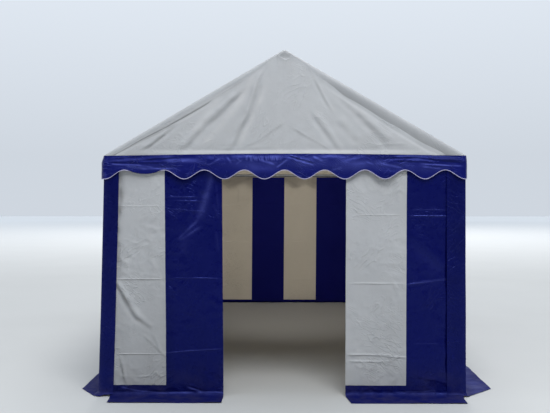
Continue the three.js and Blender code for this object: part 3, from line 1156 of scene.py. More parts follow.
        def keep_blue(across: float, down: float) -> bool:
            """Say whether a spot belongs to a blue stripe, the kick band or the skirt."""
            in_stripe = down > WALL_HEM - LAP and stripe_at(across, 0.0, Dye.BLUE)
            return self.in_skirt(across, down) if down > seam_down else in_stripe

        def seam_at(across: float, down: float) -> Spot:
            """Give the distance from the nearest seam, and the place along it."""
            upright = [abs(across - edge) for edge in sewn]
            return min(*upright, abs(down - seam_down), abs(down - WALL_HEM)), across + down

        def rub_at(across: float, down: float) -> Spot:
            """Give how much painted highlight and painted shade the cloth has."""
            return self.relief.rub_at(across, WALL_TOP - down)

        white = Cut(
            f"{self.name}_white_stripes", ticks(low, high, self.pitch, [*laps, *hems]),
            ticks(0.0, seam_down + LAP, self.pitch, [WALL_HEM, *close]),
            lambda across, down: self.place(across, down, LAP_RISE), self.wardrobe.white,
            self.wardrobe.white_inside, keep_white, seam_at, rub_at,
        )
        blue = Cut(
            f"{self.name}_blue_stripes",
            ticks(low, high, self.pitch, [*seams, *hems]),
            drop.ticks(self.pitch, [WALL_HEM - LAP, seam_down, *close]),
            lambda across, down: self.place(across, down, 0.0),
            self.wardrobe.blue,
            self.wardrobe.blue_inside,
            keep_blue,
            seam_at,
            rub_at,
            [
                ((start, drop.crease), (start_edge, drop.length)),
                ((stop, drop.crease), (stop_edge, drop.length)),
            ],
        )
        for cut, dye in ((white, Dye.WHITE), (blue, Dye.BLUE)):
            piece = cut.hang()
            LOG.info("%s: flat %.2f by %.2f m, %.2f m2", piece.name, high - low, cut.down[-1], cut.area)
            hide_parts(f"{self.name}_{dye.value}")


@dataclass
class LongWall(StripedWall):
    """A long wall, whose blue ends turn round the corner legs onto the front and the back.

    Attributes:
        lean: How far the foot of the wall stands out at the front.
        returns: Width of the strip on the wall's left end and on its right end.
        curl: How far the free edge of a strip curls off the panel under it.
    """

    lean: float = 0.0
    returns: tuple[float, float] = (0.14, 0.14)
    curl: float = 0.006

    def stand_off(self, across: float, up: float) -> float:
        """Give how far the wall is from its frame before its folds, a little more at its ends."""
        return RETURN_OUT - 0.003 * smooth((self.side.half - 0.1 - abs(across)) / 0.2)

    def place(self, across: float, down: float, over: float) -> Vector:
        """Hang one point of the wall, with its lean.

        Args:
            across: Place across the flat cloth.
            down: Place down the flat cloth.
            over: How far the point lies over the other cloth of the wall.

        Returns:
            The point on the tent.
        """
        _, up, _ = self.drop.at(down)
        to_front = across if self.side is Side.LEFT else -across
        share = 0.3 + 0.7 * smooth((to_front + 1.5) / 4.0)
        lean = self.lean * share * (1 - up / WALL_TOP) ** 1.15
        return super().place(across, down, over) + self.side.outward * lean

    def rise_at(self, across: float, up: float) -> float:
        """Give the cloth's height over its flat place, with the corner strips' free edges curled out.

        Args:
            across: Place across the wall.
            up: Height above the ground.

        Returns:
            The height in metres.
        """
        corner = self.side.half + RETURN_OUT
        strip = self.returns[0] if across < 0 else self.returns[1]
        near_edge = smooth(1 - (corner + strip - abs(across)) / 0.05)
        curl = self.curl + 0.003 * noise.noise(Vector((up * 3, across, 2)))
        return super().rise_at(across, up) + curl * near_edge


# Folds, each across its wall and up from the ground; where a fold's painted light is over 0 a highlight is
# painted along it, and where it is under 0 shade is painted
LEFT_PANEL_FOLDS = (
    level_crease(-1.42, -1.0, 1.58, 0.003),
    level_crease(-1.44, -0.98, 0.975, 0.005),
    level_crease(-1.44, -0.98, 0.352, 0.0042),
    level_crease(-1.01, -0.7, 1.658, 0.003, 0.002, rub=0.22),
    level_crease(-1.01, -0.62, 1.63, 0.003, 0.012, rub=0.12),
    level_crease(-1.01, -0.62, 1.556, 0.003, 0.022, rub=0.15),
    level_crease(-1.03, -0.48, 0.985, 0.0035, 0.006, rub=0.12),
    Fold((-1.375, 1.93), (-1.4, 1.0), -0.02, 0.035, rub=-0.22),
    shade((-1.37, 0.967), (-1.04, 0.965), 0.005, -0.3),
    shade((-1.38, 0.344), (-1.04, 0.344), 0.005, -0.25),
    shade((-1.385, 0.9), (-1.27, 0.7), 0.015, -0.3),
    shade((-1.28, 0.71), (-1.14, 0.56), 0.014, -0.14),
    shade((-1.4, 0.75), (-1.37, 0.4), 0.045, -0.16),
    # Painted shade, darkest at the foot of the panel.
    shade((-1.45, 0.1), (-0.5, 0.1), 0.75, -0.4),
    shade((-1.373, 0.327), (-1.346, 0.106), 0.011, -0.3),
    shade((-1.16, 0.49), (-1.0, 0.34), 0.005, -0.3),
    shade((-1.364, 0.072), (-1.238, 0.045), 0.006, 0.5),
    shade((-1.238, 0.045), (-1.0, 0.02), 0.006, 0.45),
    shade((-0.96, 0.027), (-0.78, 0.03), 0.006, 0.5),
    shade((-0.811, 0.075), (-0.685, 0.033), 0.006, 0.5),
    shade((-0.66, 0.033), (-0.535, 0.033), 0.006, 0.4),
    level_crease(-1.04, -0.47, 0.365, 0.0035, -0.03, rub=0.4),
    *pleat((-1.395, 0.93), (-1.24, 0.655), 0.02, 0.024),
    *pleat((-1.26, 0.67), (-1.12, 0.57), 0.009, 0.02),
    *pleat((-1.378, 0.325), (-1.34, 0.11), 0.01, 0.012),
    Fold((-1.17, 0.5), (-0.99, 0.326), 0.005, 0.009),
    Fold((-1.095, 0.515), (-1.033, 0.375), 0.005, 0.008),
    Fold((-1.1, 1.705), (-1.046, 1.753), 0.004, 0.007),
    Fold((-1.27, 1.655), (-1.235, 1.715), 0.003, 0.007),
    Fold((-1.19, 1.45), (-1.1, 1.558), 0.0045, 0.008),
    Fold((-1.134, 1.44), (-1.022, 1.537), 0.0035, 0.008),
    Fold((-1.1, 1.36), (-1.04, 1.405), 0.003, 0.008),
    Fold((-1.24, 1.272), (-1.17, 1.298), 0.003, 0.008),
    Fold((-1.32, 1.12), (-1.22, 1.225), -0.005, 0.022),
    Fold((-1.28, 1.035), (-1.03, 0.99), 0.002, 0.007),
    Fold((-1.22, 0.16), (-1.11, 0.17), 0.004, 0.009),
    Fold((-1.1, 0.2), (-1.03, 0.16), 0.004, 0.009),
    *pleat((-0.605, 1.85), (-0.66, 1.66), -0.01, 0.028, rub=0.4),
    *pleat((-0.66, 1.68), (-0.715, 1.49), -0.012, 0.032, rub=0.3),
    *pleat((-0.72, 1.5), (-0.86, 1.2), -0.006, 0.04, rub=0.12),
    Fold((-0.727, 1.459), (-0.874, 1.317), 0.004, 0.006, rub=0.6),
    Fold((-0.705, 1.404), (-0.861, 1.305), 0.004, 0.006, rub=0.55),
    Fold((-0.565, 1.75), (-0.55, 1.52), 0.005, 0.009, rub=0.1),
    Fold((-0.59, 1.6), (-0.555, 1.49), 0.004, 0.008, rub=0.1),
    Fold((-0.575, 1.37), (-0.55, 1.22), 0.005, 0.009, rub=0.1),
    Fold((-0.56, 1.1), (-0.59, 0.4), 0.005, 0.02),
    Fold((-0.82, 0.1), (-0.7, 0.06), 0.003, 0.009),
)
RIGHT_PANEL_FOLDS = (
    level_crease(0.51, 1.0, 1.506, 0.002),
    level_crease(0.49, 1.02, 0.939, 0.0045),
    level_crease(0.5, 0.92, 0.35, 0.006, width=0.007),
    level_crease(0.5, 0.88, 0.295, 0.005, width=0.007),
    Fold((0.74, 0.345), (1.0, 0.33), 0.005, 0.008),
    Fold((0.82, 0.275), (0.945, 0.337), 0.005, 0.008),
    Fold((0.6, 0.25), (0.74, 0.225), 0.003, 0.01),
    level_crease(0.97, 1.4, 1.498, 0.004, width=0.005, rub=0.15),
    level_crease(1.02, 1.4, 1.55, 0.002),
    Fold((1.02, 0.935), (1.35, 0.975), 0.004, 0.007, rub=0.45),
    level_crease(1.05, 1.3, 0.443, 0.0014),
    Fold((0.6, 1.75), (0.72, 1.25), 0.004, 0.04),
    Fold((0.92, 1.85), (0.96, 1.35), 0.005, 0.03),
    Fold((0.95, 1.2), (1.0, 1.05), 0.004, 0.01),
    Fold((0.9, 0.95), (0.98, 0.8), 0.004, 0.012),
    *pleat((1.16, 1.0), (1.33, 0.4), -0.009, 0.045),
    *pleat((1.03, 1.32), (1.32, 1.06), 0.01, 0.045),
    shade((1.02, 1.24), (1.3, 1.02), 0.05, 0.07),
    Fold((1.374, 1.92), (1.352, 1.2), -0.013, 0.013),
    Fold((1.352, 1.25), (1.365, 0.72), -0.016, 0.015),
    Fold((1.365, 0.76), (1.35, 0.2), -0.014, 0.015),
    Fold((1.1, 0.18), (1.34, 0.12), 0.006, 0.014),
    shade((0.93, 0.037), (1.24, 0.055), 0.005, 0.4),
    shade((0.56, 0.04), (0.76, 0.035), 0.006, 0.2),
    # Painted shade, darkest at the foot of the panel.
    shade((0.5, 0.1), (1.4, 0.1), 0.75, -0.12),
)
# Hollows near the top of the back wall, with painted shade along them.
BACK_WALL_FOLDS = (
    Fold((0.93, 1.8), (0.527, 1.955), -0.006, 0.02, rub=-0.5),
    Fold((0.93, 1.88), (0.62, 1.985), -0.004, 0.012, rub=-0.4),
    Fold((0.712, 1.78), (0.717, 1.58), -0.007, 0.008, rub=-0.6),
    Fold((0.806, 1.82), (0.806, 1.73), -0.003, 0.008, rub=-0.2),
    Fold((0.77, 1.84), (0.66, 1.7), -0.004, 0.012),
    Fold((-0.008, 1.95), (-0.191, 1.816), -0.005, 0.02, rub=-0.5),
    Fold((-0.27, 1.9), (-0.46, 1.78), -0.004, 0.03, rub=-0.18),
    Fold((-0.35, 1.85), (-0.2, 1.6), -0.004, 0.02),
)


@dataclass
class Walls:
    """All the walls, with the doorway between the two front panels.

    Attributes:
        wardrobe: The tent's finishes.
        skirt: How far the front and back skirts reach over the ground.
        side_skirt: The same of the side skirts, before each one's own share.
    """

    wardrobe: Wardrobe
    skirt: float = 0.232
    side_skirt: float = 0.262

    def front_left(self) -> StripedWall:
        """Describe the panel to the left of the doorway.

        Returns:
            The panel.
        """
        return StripedWall(
            "front_left_panel", Side.FRONT, ((-1.485, -1.0, Dye.WHITE), (-1.0, -0.518, Dye.BLUE)),
            Relief(1.0, 0.011, 0.0042, LEFT_PANEL_FOLDS, grain=0.1), Drop(self.skirt), self.wardrobe,
            ((-1.46, -1.44), (-0.5175, -0.519)), free_edges=(-0.518,), drift=0.012,
        )

    def front_right(self) -> StripedWall:
        """Describe the panel to the right of the doorway.

        Returns:
            The panel.
        """
        return StripedWall(
            "front_right_panel", Side.FRONT, ((DOOR_EDGE, 1.005, Dye.WHITE), (1.005, 1.485, Dye.BLUE)),
            Relief(2.0, 0.011, 0.0036, RIGHT_PANEL_FOLDS, grain=0.1), Drop(self.skirt), self.wardrobe,
            ((DOOR_EDGE + 1e-3, DOOR_EDGE + 0.03), (1.48, 1.472)), free_edges=(DOOR_EDGE,), drift=-0.006,
        )

    def back(self) -> StripedWall:
        """Describe the back wall.

        Returns:
            The wall.
        """
        stripes = [
            (i * STRIPE, (i + 1) * STRIPE, Dye.WHITE if i % 2 else Dye.BLUE) for i in range(-3, 3)
        ]
        stripes[0] = (-1.485, *stripes[0][1:])
        stripes[-1] = (stripes[-1][0], 1.485, stripes[-1][2])
        packing = tuple(
            level_crease(low + 0.02, high - 0.02, up + 0.02 * math.sin(low * 7), 0.0028, width=0.007)
            for low, high, _ in stripes
            for up in (1.54, 0.96, 0.37)
        )
        return StripedWall(
            "back_wall", Side.BACK, stripes,
            Relief(3.0, 0.008, 0.002, (*packing, *BACK_WALL_FOLDS), grain=0.2), Drop(self.skirt),
            self.wardrobe, ((-1.43, -1.41), (1.43, 1.41)), pitch=0.02, drift=0.014, kick=0.05,
        )

    def long(self, side: Side, lean: float, returns: tuple[float, float], seed: float) -> LongWall:
        """Describe a long wall.

        Args:
            side: Its side.
            lean: How far its foot stands out at the front.
            returns: Widths of the strips at its left and right ends.
            seed: Sets its own pattern.

        Returns:
            The wall.
        """
        corner = side.half + RETURN_OUT
        edge = HALF_LENGTH - STRIPE / 2
        stripes = [(-corner - returns[0], -edge, Dye.BLUE)]
        for i in range(11):
            low = -edge + i * STRIPE
            stripes.append((low, low + STRIPE, Dye.BLUE if i % 2 else Dye.WHITE))
        stripes.append((edge, corner + returns[1], Dye.BLUE))
        folds = tuple(
            level_crease(low + 0.02, high - 0.02, up + 0.015 * math.sin(low * 5 + seed), 0.003, width=0.007)
            for low, high, _ in stripes[1:-1]
            for up in (1.56, 0.97, 0.36)
        ) + tuple(
            Fold((station + way * 0.06, 1.86), (station + way * 0.5, 1.2), 0.006, 0.03, 2.0)
            for station in FRAME_STATIONS
            for way in (-1, 1)
            if abs(station + way * 0.5) < FRAME_Y
        )
        # Painted shade down the strips that turn round the corner legs.
        strips = [way * (corner + 0.05) for way in (-1, 1)]
        folds += tuple(shade((strip, 1.95), (strip, 0.1), 0.12, -0.35) for strip in strips)
        skirt, ear = self.side_skirt - 0.015, 0.035
        if side is Side.RIGHT:
            skirt, ear = self.side_skirt + 0.022, 0.0
            # A painted highlight along the right wall's skirt.
            folds += (shade((-corner, -0.12), (corner, -0.12), 0.09, 0.4),)
        return LongWall(
            f"{side.name.lower()}_wall", side, stripes,
            Relief(seed, 0.01, 0.0026, folds, size=0.8, grain=0.24), Drop(skirt - lean), self.wardrobe,
            ((-corner, -corner + skirt), (corner + ear, corner - skirt)), out=RETURN_OUT, pitch=0.026,
            lean=lean, returns=returns,
        )

    def make(self) -> None:
        """Build every wall."""
        walls = [
            self.front_left(), self.front_right(), self.back(),
            self.long(Side.LEFT, 0.054, (0.14, 0.11), 4.0),
            self.long(Side.RIGHT, 0.008, (0.142, 0.14), 5.0),
        ]
        for wall in walls:
            wall.make()


# Roof


# Folds of the gables, each across its gable and up from the ground: they fan out from under the ridge. The
# front gable's folds carry painted highlights and painted shade, and painted shade darkens the mouth under
# the ridge
FRONT_GABLE_FOLDS = (
    *pleat((-0.16, 2.745), (-0.238, 2.549), 0.008, 0.018),
    *pleat((-0.225, 2.57), (-0.3, 2.34), 0.014, 0.02, 1.2, rub=-0.04),
    *pleat((-0.29, 2.36), (-0.44, 2.06), 0.014, 0.02, 1.2, rub=-0.12),
    *pleat((-0.36, 2.52), (-0.84, 2.06), 0.012, 0.024, 1.3, rub=-0.04),
    *pleat((-0.9, 2.26), (-1.15, 2.06), 0.011, 0.018, rub=-0.15),
    Fold((-0.34, 2.618), (-0.62, 2.45), -0.003, 0.01, rub=-0.3),
    Fold((-0.65, 2.433), (-0.92, 2.27), -0.004, 0.008, rub=-0.85),
    Fold((-0.92, 2.25), (-1.3, 2.06), -0.003, 0.008, rub=-0.55),
    Fold((-1.0, 2.165), (-1.13, 2.055), -0.003, 0.008, rub=-0.5),
    shade((-0.15, 2.58), (-0.36, 2.1), 0.022, 0.7),
    shade((-0.26, 2.64), (-0.4, 2.42), 0.022, 0.6),
    shade((-0.53, 2.49), (-0.79, 2.15), 0.03, 0.6),
    shade((-0.31, 2.5), (-0.64, 2.1), 0.026, 0.8),
    Fold((-0.47, 2.33), (-0.71, 2.05), 0.003, 0.008, rub=0.2),
    shade((-0.03, 2.72), (0.05, 2.86), 0.03, 0.2),
    shade((-0.045, 2.828), (0.045, 2.818), 0.015, -0.85),
    shade((-0.055, 2.838), (0.03, 2.846), 0.008, -0.6),
    Fold((-0.02, 2.258), (-0.16, 2.155), 0.004, 0.006, rub=-0.4),
    Fold((-0.16, 2.155), (-0.33, 2.065), 0.004, 0.007, rub=-0.3),
    *pleat((0.18, 2.75), (0.375, 2.38), 0.008, 0.011, rub=-0.12),
    *pleat((0.24, 2.34), (0.46, 2.05), 0.008, 0.024),
    *pleat((0.46, 2.5), (0.64, 2.32), 0.01, 0.03, 1.2),
    *pleat((0.62, 2.34), (0.86, 2.09), 0.011, 0.034),
    *pleat((0.45, 2.28), (0.61, 2.12), 0.005, 0.03),
    shade((0.38, 2.42), (0.62, 2.08), 0.03, 0.25),
    Fold((0.06, 2.227), (0.36, 2.05), 0.004, 0.006, rub=-0.6),
    Fold((-0.55, 2.052), (-0.1, 2.066), 0.004, 0.01),
    shade((-0.6, 2.03), (0.65, 2.035), 0.012, 0.6),
    Fold((0.72, 2.08), (0.98, 2.1), 0.003, 0.01),
)
BACK_GABLE_FOLDS = tuple(
    Fold((start, 2.72 - abs(start) * 0.5), (end, 2.06), -0.009, 0.018, 2.0)
    for start, end in ((-0.12, -0.5), (-0.3, -0.95), (0.16, 0.42), (0.26, 0.8), (0.6, 1.1))
)


@dataclass
class Roof:
    """The cover over the ridge, the two gables and the valance round the eaves.

    A curve across the roof is read by the distance from the ridge.

    Attributes:
        wardrobe: The tent's finishes.
        ridge_radius: Radius of the cover over the ridge.
        edge_radius: Radius of its turns at the eaves and at its ends.
        verge_left: Width of the bands that turn down at its ends, on the left.
        verge_right: The same on the right.
        drawn_left: How far the bands' edges are drawn in, on the left.
        drawn_right: The same on the right.
        hem_shade: How much shade is painted on the bands' edges, on the left.
        snug_left: How far the front gable stands out against the band, on the left.
        snug_right: The same on the right.
        sag: How far the cover hangs through in the middle of a bay.
        bow: How far the end seams of the valance rise in their middle.
        mouth: Edge of the front gable's tip under the ridge, across and up.
        mouth_share: Share of the gable's cloth above that edge.
        lip: How far the cloth stands out at that edge.
        edge_fall: How far the turn at the ends falls, as a share of its radius.
        tip: How far the foot of a gable tips out over its rail.
        belly: How far a gable stands out in its middle.
        band: Length of cloth for a band, before its width is set.
        eave_out: How far a band may stand out at the eaves, under the valance.
        eave_zone: Height over the eave in which that holds.
        gable_out: How far a gable hangs outside the panels.
        gable_drop: How far a gable's top is under the cover's outer face.
        gable_foot: Height of a gable's foot.
        ridge_axis: Height of the middle of the ridge's bend.
        arc: Length of cloth from the ridge to the straight slope.
        straight: Length of the straight slope.
        turn: Angle of the turn at the eaves.
        half_flat: Length of cloth from the ridge to its edge.
        cover_relief: How the cover stands from its slope.
    """

    wardrobe: Wardrobe
    ridge_radius: float = 0.034
    edge_radius: float = 0.022
    verge_left: Curve = (
        (0.0, 0.01), (0.1, 0.012), (0.35, 0.032), (0.74, 0.048), (1.1, 0.044), (1.44, 0.026), (1.74, 0.02)
    )
    verge_right: Curve = (
        (0.0, 0.01), (0.1, 0.013), (0.21, 0.026), (0.36, 0.064), (0.66, 0.079), (1.06, 0.098), (1.36, 0.1),
        (1.56, 0.075), (1.74, 0.04),
    )
    drawn_left: Curve = ((0.0, 0.0), (0.2, 0.001), (0.7, 0.001), (0.85, 0.0), (1.2, 0.003))
    drawn_right: Curve = ((0.0, 0.0), (0.2, 0.001), (0.45, 0.004), (1.4, 0.0045), (1.7, 0.0))
    hem_shade: Curve = ((0.3, 0.0), (0.42, 0.4), (0.6, 0.3), (0.75, 0.9), (1.3, 0.95), (1.7, 0.3))
    snug_left: Curve = ((0.0, SNUG), (0.15, SNUG), (0.3, 0.004), (0.55, 0.004), (0.75, 0.0))
    snug_right: Curve = ((0.0, SNUG), (0.15, SNUG), (0.3, 0.004), (0.5, 0.0))
    sag: float = 0.024
    bow: float = 0.015
    mouth: Curve = ((-0.07, 2.824), (0.012, 2.783), (0.06, 2.812))
    mouth_share: float = 0.03
    lip: float = 0.009
    edge_fall: Curve = ((0.0, 0.5), (0.1, 0.55), (0.35, 1.0))
    tip: float = 0.02
    belly: float = 0.007
    band: float = 0.08
    eave_out: float = 0.0205
    eave_zone: float = 0.04
    gable_out: float = 0.0015
    gable_drop: float = 0.012
    gable_foot: float = EAVE - 0.02
    ridge_axis: float = field(init=False)
    arc: float = field(init=False)
    straight: float = field(init=False)
    turn: float = field(init=False)
    half_flat: float = field(init=False)
    cover_relief: Relief = field(init=False)

    def __post_init__(self) -> None:
        """Work out the slope's line from the sizes, and crease the cover."""
        self.ridge_axis = EAVE + HALF_WIDTH * math.tan(PITCH) - self.ridge_radius / math.cos(PITCH)
        self.arc = self.ridge_radius * PITCH
        top_x = self.ridge_radius * math.sin(PITCH)
        self.turn = math.pi / 2 - PITCH
        end_x = HALF_WIDTH - self.edge_radius * (1 - math.sin(PITCH))
        self.straight = (end_x - top_x) / math.cos(PITCH)
        self.half_flat = self.arc + self.straight + self.edge_radius * self.turn
        self.cover_relief = Relief(6.0, 0.005, 0.003, tuple(self.cover_folds()), size=0.7, grain=0.3)

    @property
    def level(self) -> float:
        """Length of cloth along the tent, from its middle to the turn at its end."""
        return HALF_LENGTH - self.edge_radius

    @property
    def quarter(self) -> float:
        """Length of cloth in that turn."""
        return self.edge_radius * math.pi / 2

    def section(self, across: float) -> tuple[Vector, Vector]:
        """Follow the roof's outline over the ridge, in the plane across the tent.

        Args:
            across: Length of cloth from the ridge, to the right.

        Returns:
            The point and the outward direction, both with no Y.
        """
        way, length = math.copysign(1.0, across), abs(across)
        angle = min(length / self.ridge_radius, PITCH)
        x, z = self.ridge_radius * math.sin(angle), self.ridge_axis + self.ridge_radius * math.cos(angle)
        spot = Vector((x, 0, z))
        slope = Vector((math.cos(PITCH), 0, -math.sin(PITCH)))
        spot += slope * min(max(0.0, length - self.arc), self.straight)
        past = max(0.0, length - self.arc - self.straight) / self.edge_radius
        if past:
            centre = spot - Vector((math.sin(PITCH), 0, math.cos(PITCH))) * self.edge_radius
            angle = PITCH + past
            spot = centre + Vector((math.sin(angle), 0, math.cos(angle))) * self.edge_radius
        normal = Vector((math.sin(angle), 0, math.cos(angle)))
        spot.x *= way
        normal.x *= way
        return spot, normal

    def rounded(self, spot: Vector) -> Vector:
        """Pull a point in where it is past the rounded corner of the eaves.

        Args:
            spot: The point.

        Returns:
            The point on the corner, or as it was.
        """
        radius = 0.03
        over = Vector((abs(spot.x) - HALF_WIDTH + radius, abs(spot.y) - HALF_LENGTH + radius, 0))
        if over.x <= 0 or over.y <= 0 or over.length <= radius:
            return spot
        pull = over * (1 - radius / over.length)
        return spot - Vector((math.copysign(pull.x, spot.x), math.copysign(pull.y, spot.y), 0))

    def roof_line(self, x: float) -> float:
        """Give the height of the roof's outer face.

        Args:
            x: Place across the tent.

        Returns:
            The height in metres.
        """
        top_x = self.ridge_radius * math.sin(PITCH)
        if abs(x) < top_x:
            return self.ridge_axis + math.sqrt(self.ridge_radius**2 - x * x)
        return EAVE + (HALF_WIDTH - abs(x)) * math.tan(PITCH)

    def seam_line(self, side: Side, across: float) -> float:
        """Give the height of the seam between the cover and the valance.

        Args:
            side: The side of the tent.
            across: Place across that side.

        Returns:
            The height in metres.
        """
        share = across / side.half
        if side.is_end:
            return EAVE - 0.0035 + self.bow * (1 - share * share) ** 1.5
        return EAVE - 0.0035 - 0.006 * math.sin(math.pi * abs(share)) ** 2

    def slope_rise(self, across: float, y: float) -> float:
        """Give how far the cover stands from its straight slope.

        Args:
            across: Length of cloth from the ridge.
            y: Place along the tent.

        Returns:
            The height in metres.
        """
        bay = math.sin(math.pi * min(1.0, abs(y) / FRAME_STATIONS[2])) ** 2
        belly = math.sin(math.pi * min(1.0, abs(across) / self.half_flat)) ** 0.8
        free = smooth((HALF_LENGTH - abs(y)) / 0.25) * belly
        return -self.sag * bay * belly + self.cover_relief.at(across, y) * free

    def cover_folds(self) -> list[Fold]:
        """Crease the cover: it was packed folded both ways, and is pulled at its frames.

        Returns:
            The folds, along the slope and along the tent.
        """
        folds = []
        for way in (-1, 1):
            for step in (0.36, 0.9, 1.42):
                folds.append(Fold((way * step, -2.7), (way * (step + 0.02), -0.1), 0.003, 0.012))
                folds.append(Fold((way * (step + 0.02), 0.1), (way * step, 2.7), 0.003, 0.012))
            for y in (-2.3, -1.72, -1.1, -0.55, 0.6, 1.15, 1.75, 2.35):
                folds.append(Fold((way * 0.12, y), (way * 1.62, y + 0.03), 0.0032, 0.013))
            for station, to in ((0.0, 0.55), (0.0, -0.55), (-2.95, -2.2), (2.95, 2.2)):
                folds.append(Fold((way * 1.66, station), (way * 0.9, to), 0.008, 0.03, 2.0))
                folds.append(Fold((way * 0.08, station), (way * 0.7, to), 0.006, 0.025, 2.0))
        return folds

    def cover_at(self, across: float, down: float) -> Vector:
        """Hang one point of the cover, whose ends turn down over the front and back rafters.

        Args:
            across: Length of cloth from the ridge, to the right.
            down: Length of cloth from the tent's middle, to the front.

        Returns:
            The point on the tent.
        """
        spot, normal = self.section(across)
        way = -math.copysign(1.0, down)
        past = abs(down) - self.level
        if past <= 0:
            spot += normal * self.slope_rise(across, -down)
            return Vector((spot.x, -down, spot.z))
        angle = min(past / self.edge_radius, math.pi / 2)
        fall = between(self.edge_fall, abs(across)) * self.edge_radius
        spot = spot - normal * fall * (1 - math.cos(angle))
        out = self.edge_radius * math.sin(angle)
        share = max(0.0, past - self.quarter) / self.band
        if share:
            width = between(self.verge_left if across < 0 else self.verge_right, abs(across))
            width += 0.003 * noise.noise(Vector((across * 4, way * 7, 0)))
            spot.z -= width * share / math.cos(PITCH)
            ripple = 0.0015 * noise.noise(Vector((across * 6, way * 3, share)))
            drawn_in = between(self.drawn_right if across > 0 else self.drawn_left, abs(across))
            bulge = 0.03 * width * math.sin(math.pi * share**0.7)
            out += bulge - (0.08 * width + ripple + drawn_in) * share
        low = smooth((EAVE + self.eave_zone - spot.z) / self.eave_zone)
        out += (min(out, self.eave_out) - out) * low
        return self.rounded(Vector((spot.x, way * (self.level + out), spot.z)))

    def cover_painted_light(self, across: float, down: float) -> Spot:
        """Paint a highlight and then shade near the bands' edge on the left, and paint shade on the whole
        band on the right.

        Args:
            across: Length of cloth from the ridge, to the right.
            down: Length of cloth from the tent's middle, to the front.

        Returns:
            How much painted highlight and painted shade the cover has, each from 0 to 1.
        """
        share = (abs(down) - self.level - self.quarter) / self.band
        if share < -1:
            return 0.0, 0.0
        away = smooth((abs(across) - 0.25) / 0.3)
        if across > 0:
            return 0.0, (0.2 + 0.55 * share) * away * smooth((share + 0.15) / 0.4)
        edge = 0.6 * away * math.exp(-(((share - 0.62) / 0.12) ** 2))
        return edge, between(self.hem_shade, abs(across)) * smooth((share - 0.75) / 0.12)

    def make_cover(self) -> None:
        """Build the cover, with the bands that turn down over the front and back rafters."""
        straight, quarter = self.level, self.quarter
        end = straight + quarter + self.band
        turns = [straight + quarter * i / 5 for i in range(6)]
        marks = [s * t for t in turns for s in (-1, 1)]
        nose = [self.arc + self.straight + self.edge_radius * self.turn * i / 4 for i in range(5)]
        top = [self.arc * i / 3 for i in range(4)]
        across = ticks(-self.half_flat, self.half_flat, 0.034, [s * t for t in nose + top for s in (-1, 1)])
        along = [
            *(-a for a in reversed(ticks(straight, end, 0.008, turns)[1:])),
            *ticks(-straight, straight, 0.034), *ticks(straight, end, 0.008, turns)[1:],
        ]
        cut = Cut(
            "roof_cover_cloth", across, along, self.cover_at, self.wardrobe.roof,
            self.wardrobe.white_inside, painted_light_map=self.cover_painted_light, trim=EAVE - 0.014,
        )
        piece = cut.hang()
        LOG.info("%s: flat %.2f by %.2f m", piece.name, 2 * self.half_flat, 2 * end)
        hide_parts("roof_cover")

    def gable_at(self, side: Side, relief: Relief, across: float, down: float) -> Vector:
        """Hang one point of a gable.

        Args:
            side: The front or the back.
            relief: How the cloth stands from its flat place.
            across: Place across it.
            down: Share of the way down from the roof's line to its foot.

        Returns:
            The point on the tent.
        """
        x, foot, share = across * side.rightward.x, self.gable_foot, self.mouth_share
        top = self.roof_line(across) - self.gable_drop
        low = min(foot, top - 0.006)
        edge, snug = top - 0.004, 0.0
        if side is Side.FRONT:
            edge = self.mouth_edge(x, top)
            snug = between(self.snug_left if x < 0 else self.snug_right, abs(x))
        if down < share:
            up = top + (edge - top) * down / share
        else:
            up = edge + (low - edge) * (down - share) / (1 - share)
        below_band = top - up - self.band_at(x)
        rise = relief.at(across, up) * smooth(below_band / 0.09) * smooth((up - foot) / 0.05)
        puff = 0.006 * smooth(below_band / 0.03) * smooth((0.14 - below_band) / 0.11)
        rise += max(puff, 0.0) * (1 - snug / SNUG) + snug * (1 - smooth(below_band / 0.13))
        rise += self.belly * smooth(below_band / 0.12) * smooth((up - foot) / 0.12)
        over_rail = self.tip_at(side, across) * smooth((EAVE + 0.052 - up) / 0.05)
        out = PANEL_OUT + self.gable_out + over_rail + max(rise, -0.003)
        if edge < top - 0.0045 and down > 0.95 * share:
            out += self.lip * smooth((top - edge) / 0.012) * math.exp((up - edge) / 0.03)
        return side.outward * (side.reach + out) + side.rightward * across + Vector((0, 0, up))

    def make_gable(self, side: Side, relief: Relief) -> None:
        """Build the cloth that closes one end under the roof.

        Args:
            side: The front or the back.
            relief: How the cloth stands from its flat place.
        """

        def place(across: float, down: float) -> Vector:
            """Hang one point of it."""
            return self.gable_at(side, relief, across, down)

        def rub_at(across: float, down: float) -> Spot:
            """Give how much painted highlight and painted shade it has."""
            return relief.rub_at(across, place(across, down).z)

        rows = [self.mouth_share * share for share in (0.2, 0.4, 0.6, 0.78, 0.9, 1.0)]
        rows += [self.mouth_share + 0.005 * i for i in range(1, 5)]
        columns = [x for low, high in zip(self.mouth, self.mouth[1:]) for x in ticks(low[0], high[0], 0.006)]
        half = FRAME_X - 0.004
        height = self.roof_line(0) - self.gable_drop - self.gable_foot
        width_step, height_step = (0.0135, 0.016) if side is Side.FRONT else (0.024, 0.028)
        name = side.name.lower()
        cut = Cut(
            f"{name}_gable_cloth", ticks(-half, half, width_step, columns),
            ticks(0.0, 1.0, height_step, rows), place, self.wardrobe.roof, self.wardrobe.white_inside,
            seams=lambda across, down: (height * (1 - down), across), painted_light_map=rub_at,
        )
        piece = cut.hang()
        for loop, chart in zip(piece.data.loops, piece.data.uv_layers["cut"].data):
            chart.uv = piece.data.vertices[loop.vertex_index].co.xz
        LOG.info("%s: flat %.2f by %.2f m", piece.name, 2 * half, height)
        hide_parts(f"{name}_gable")

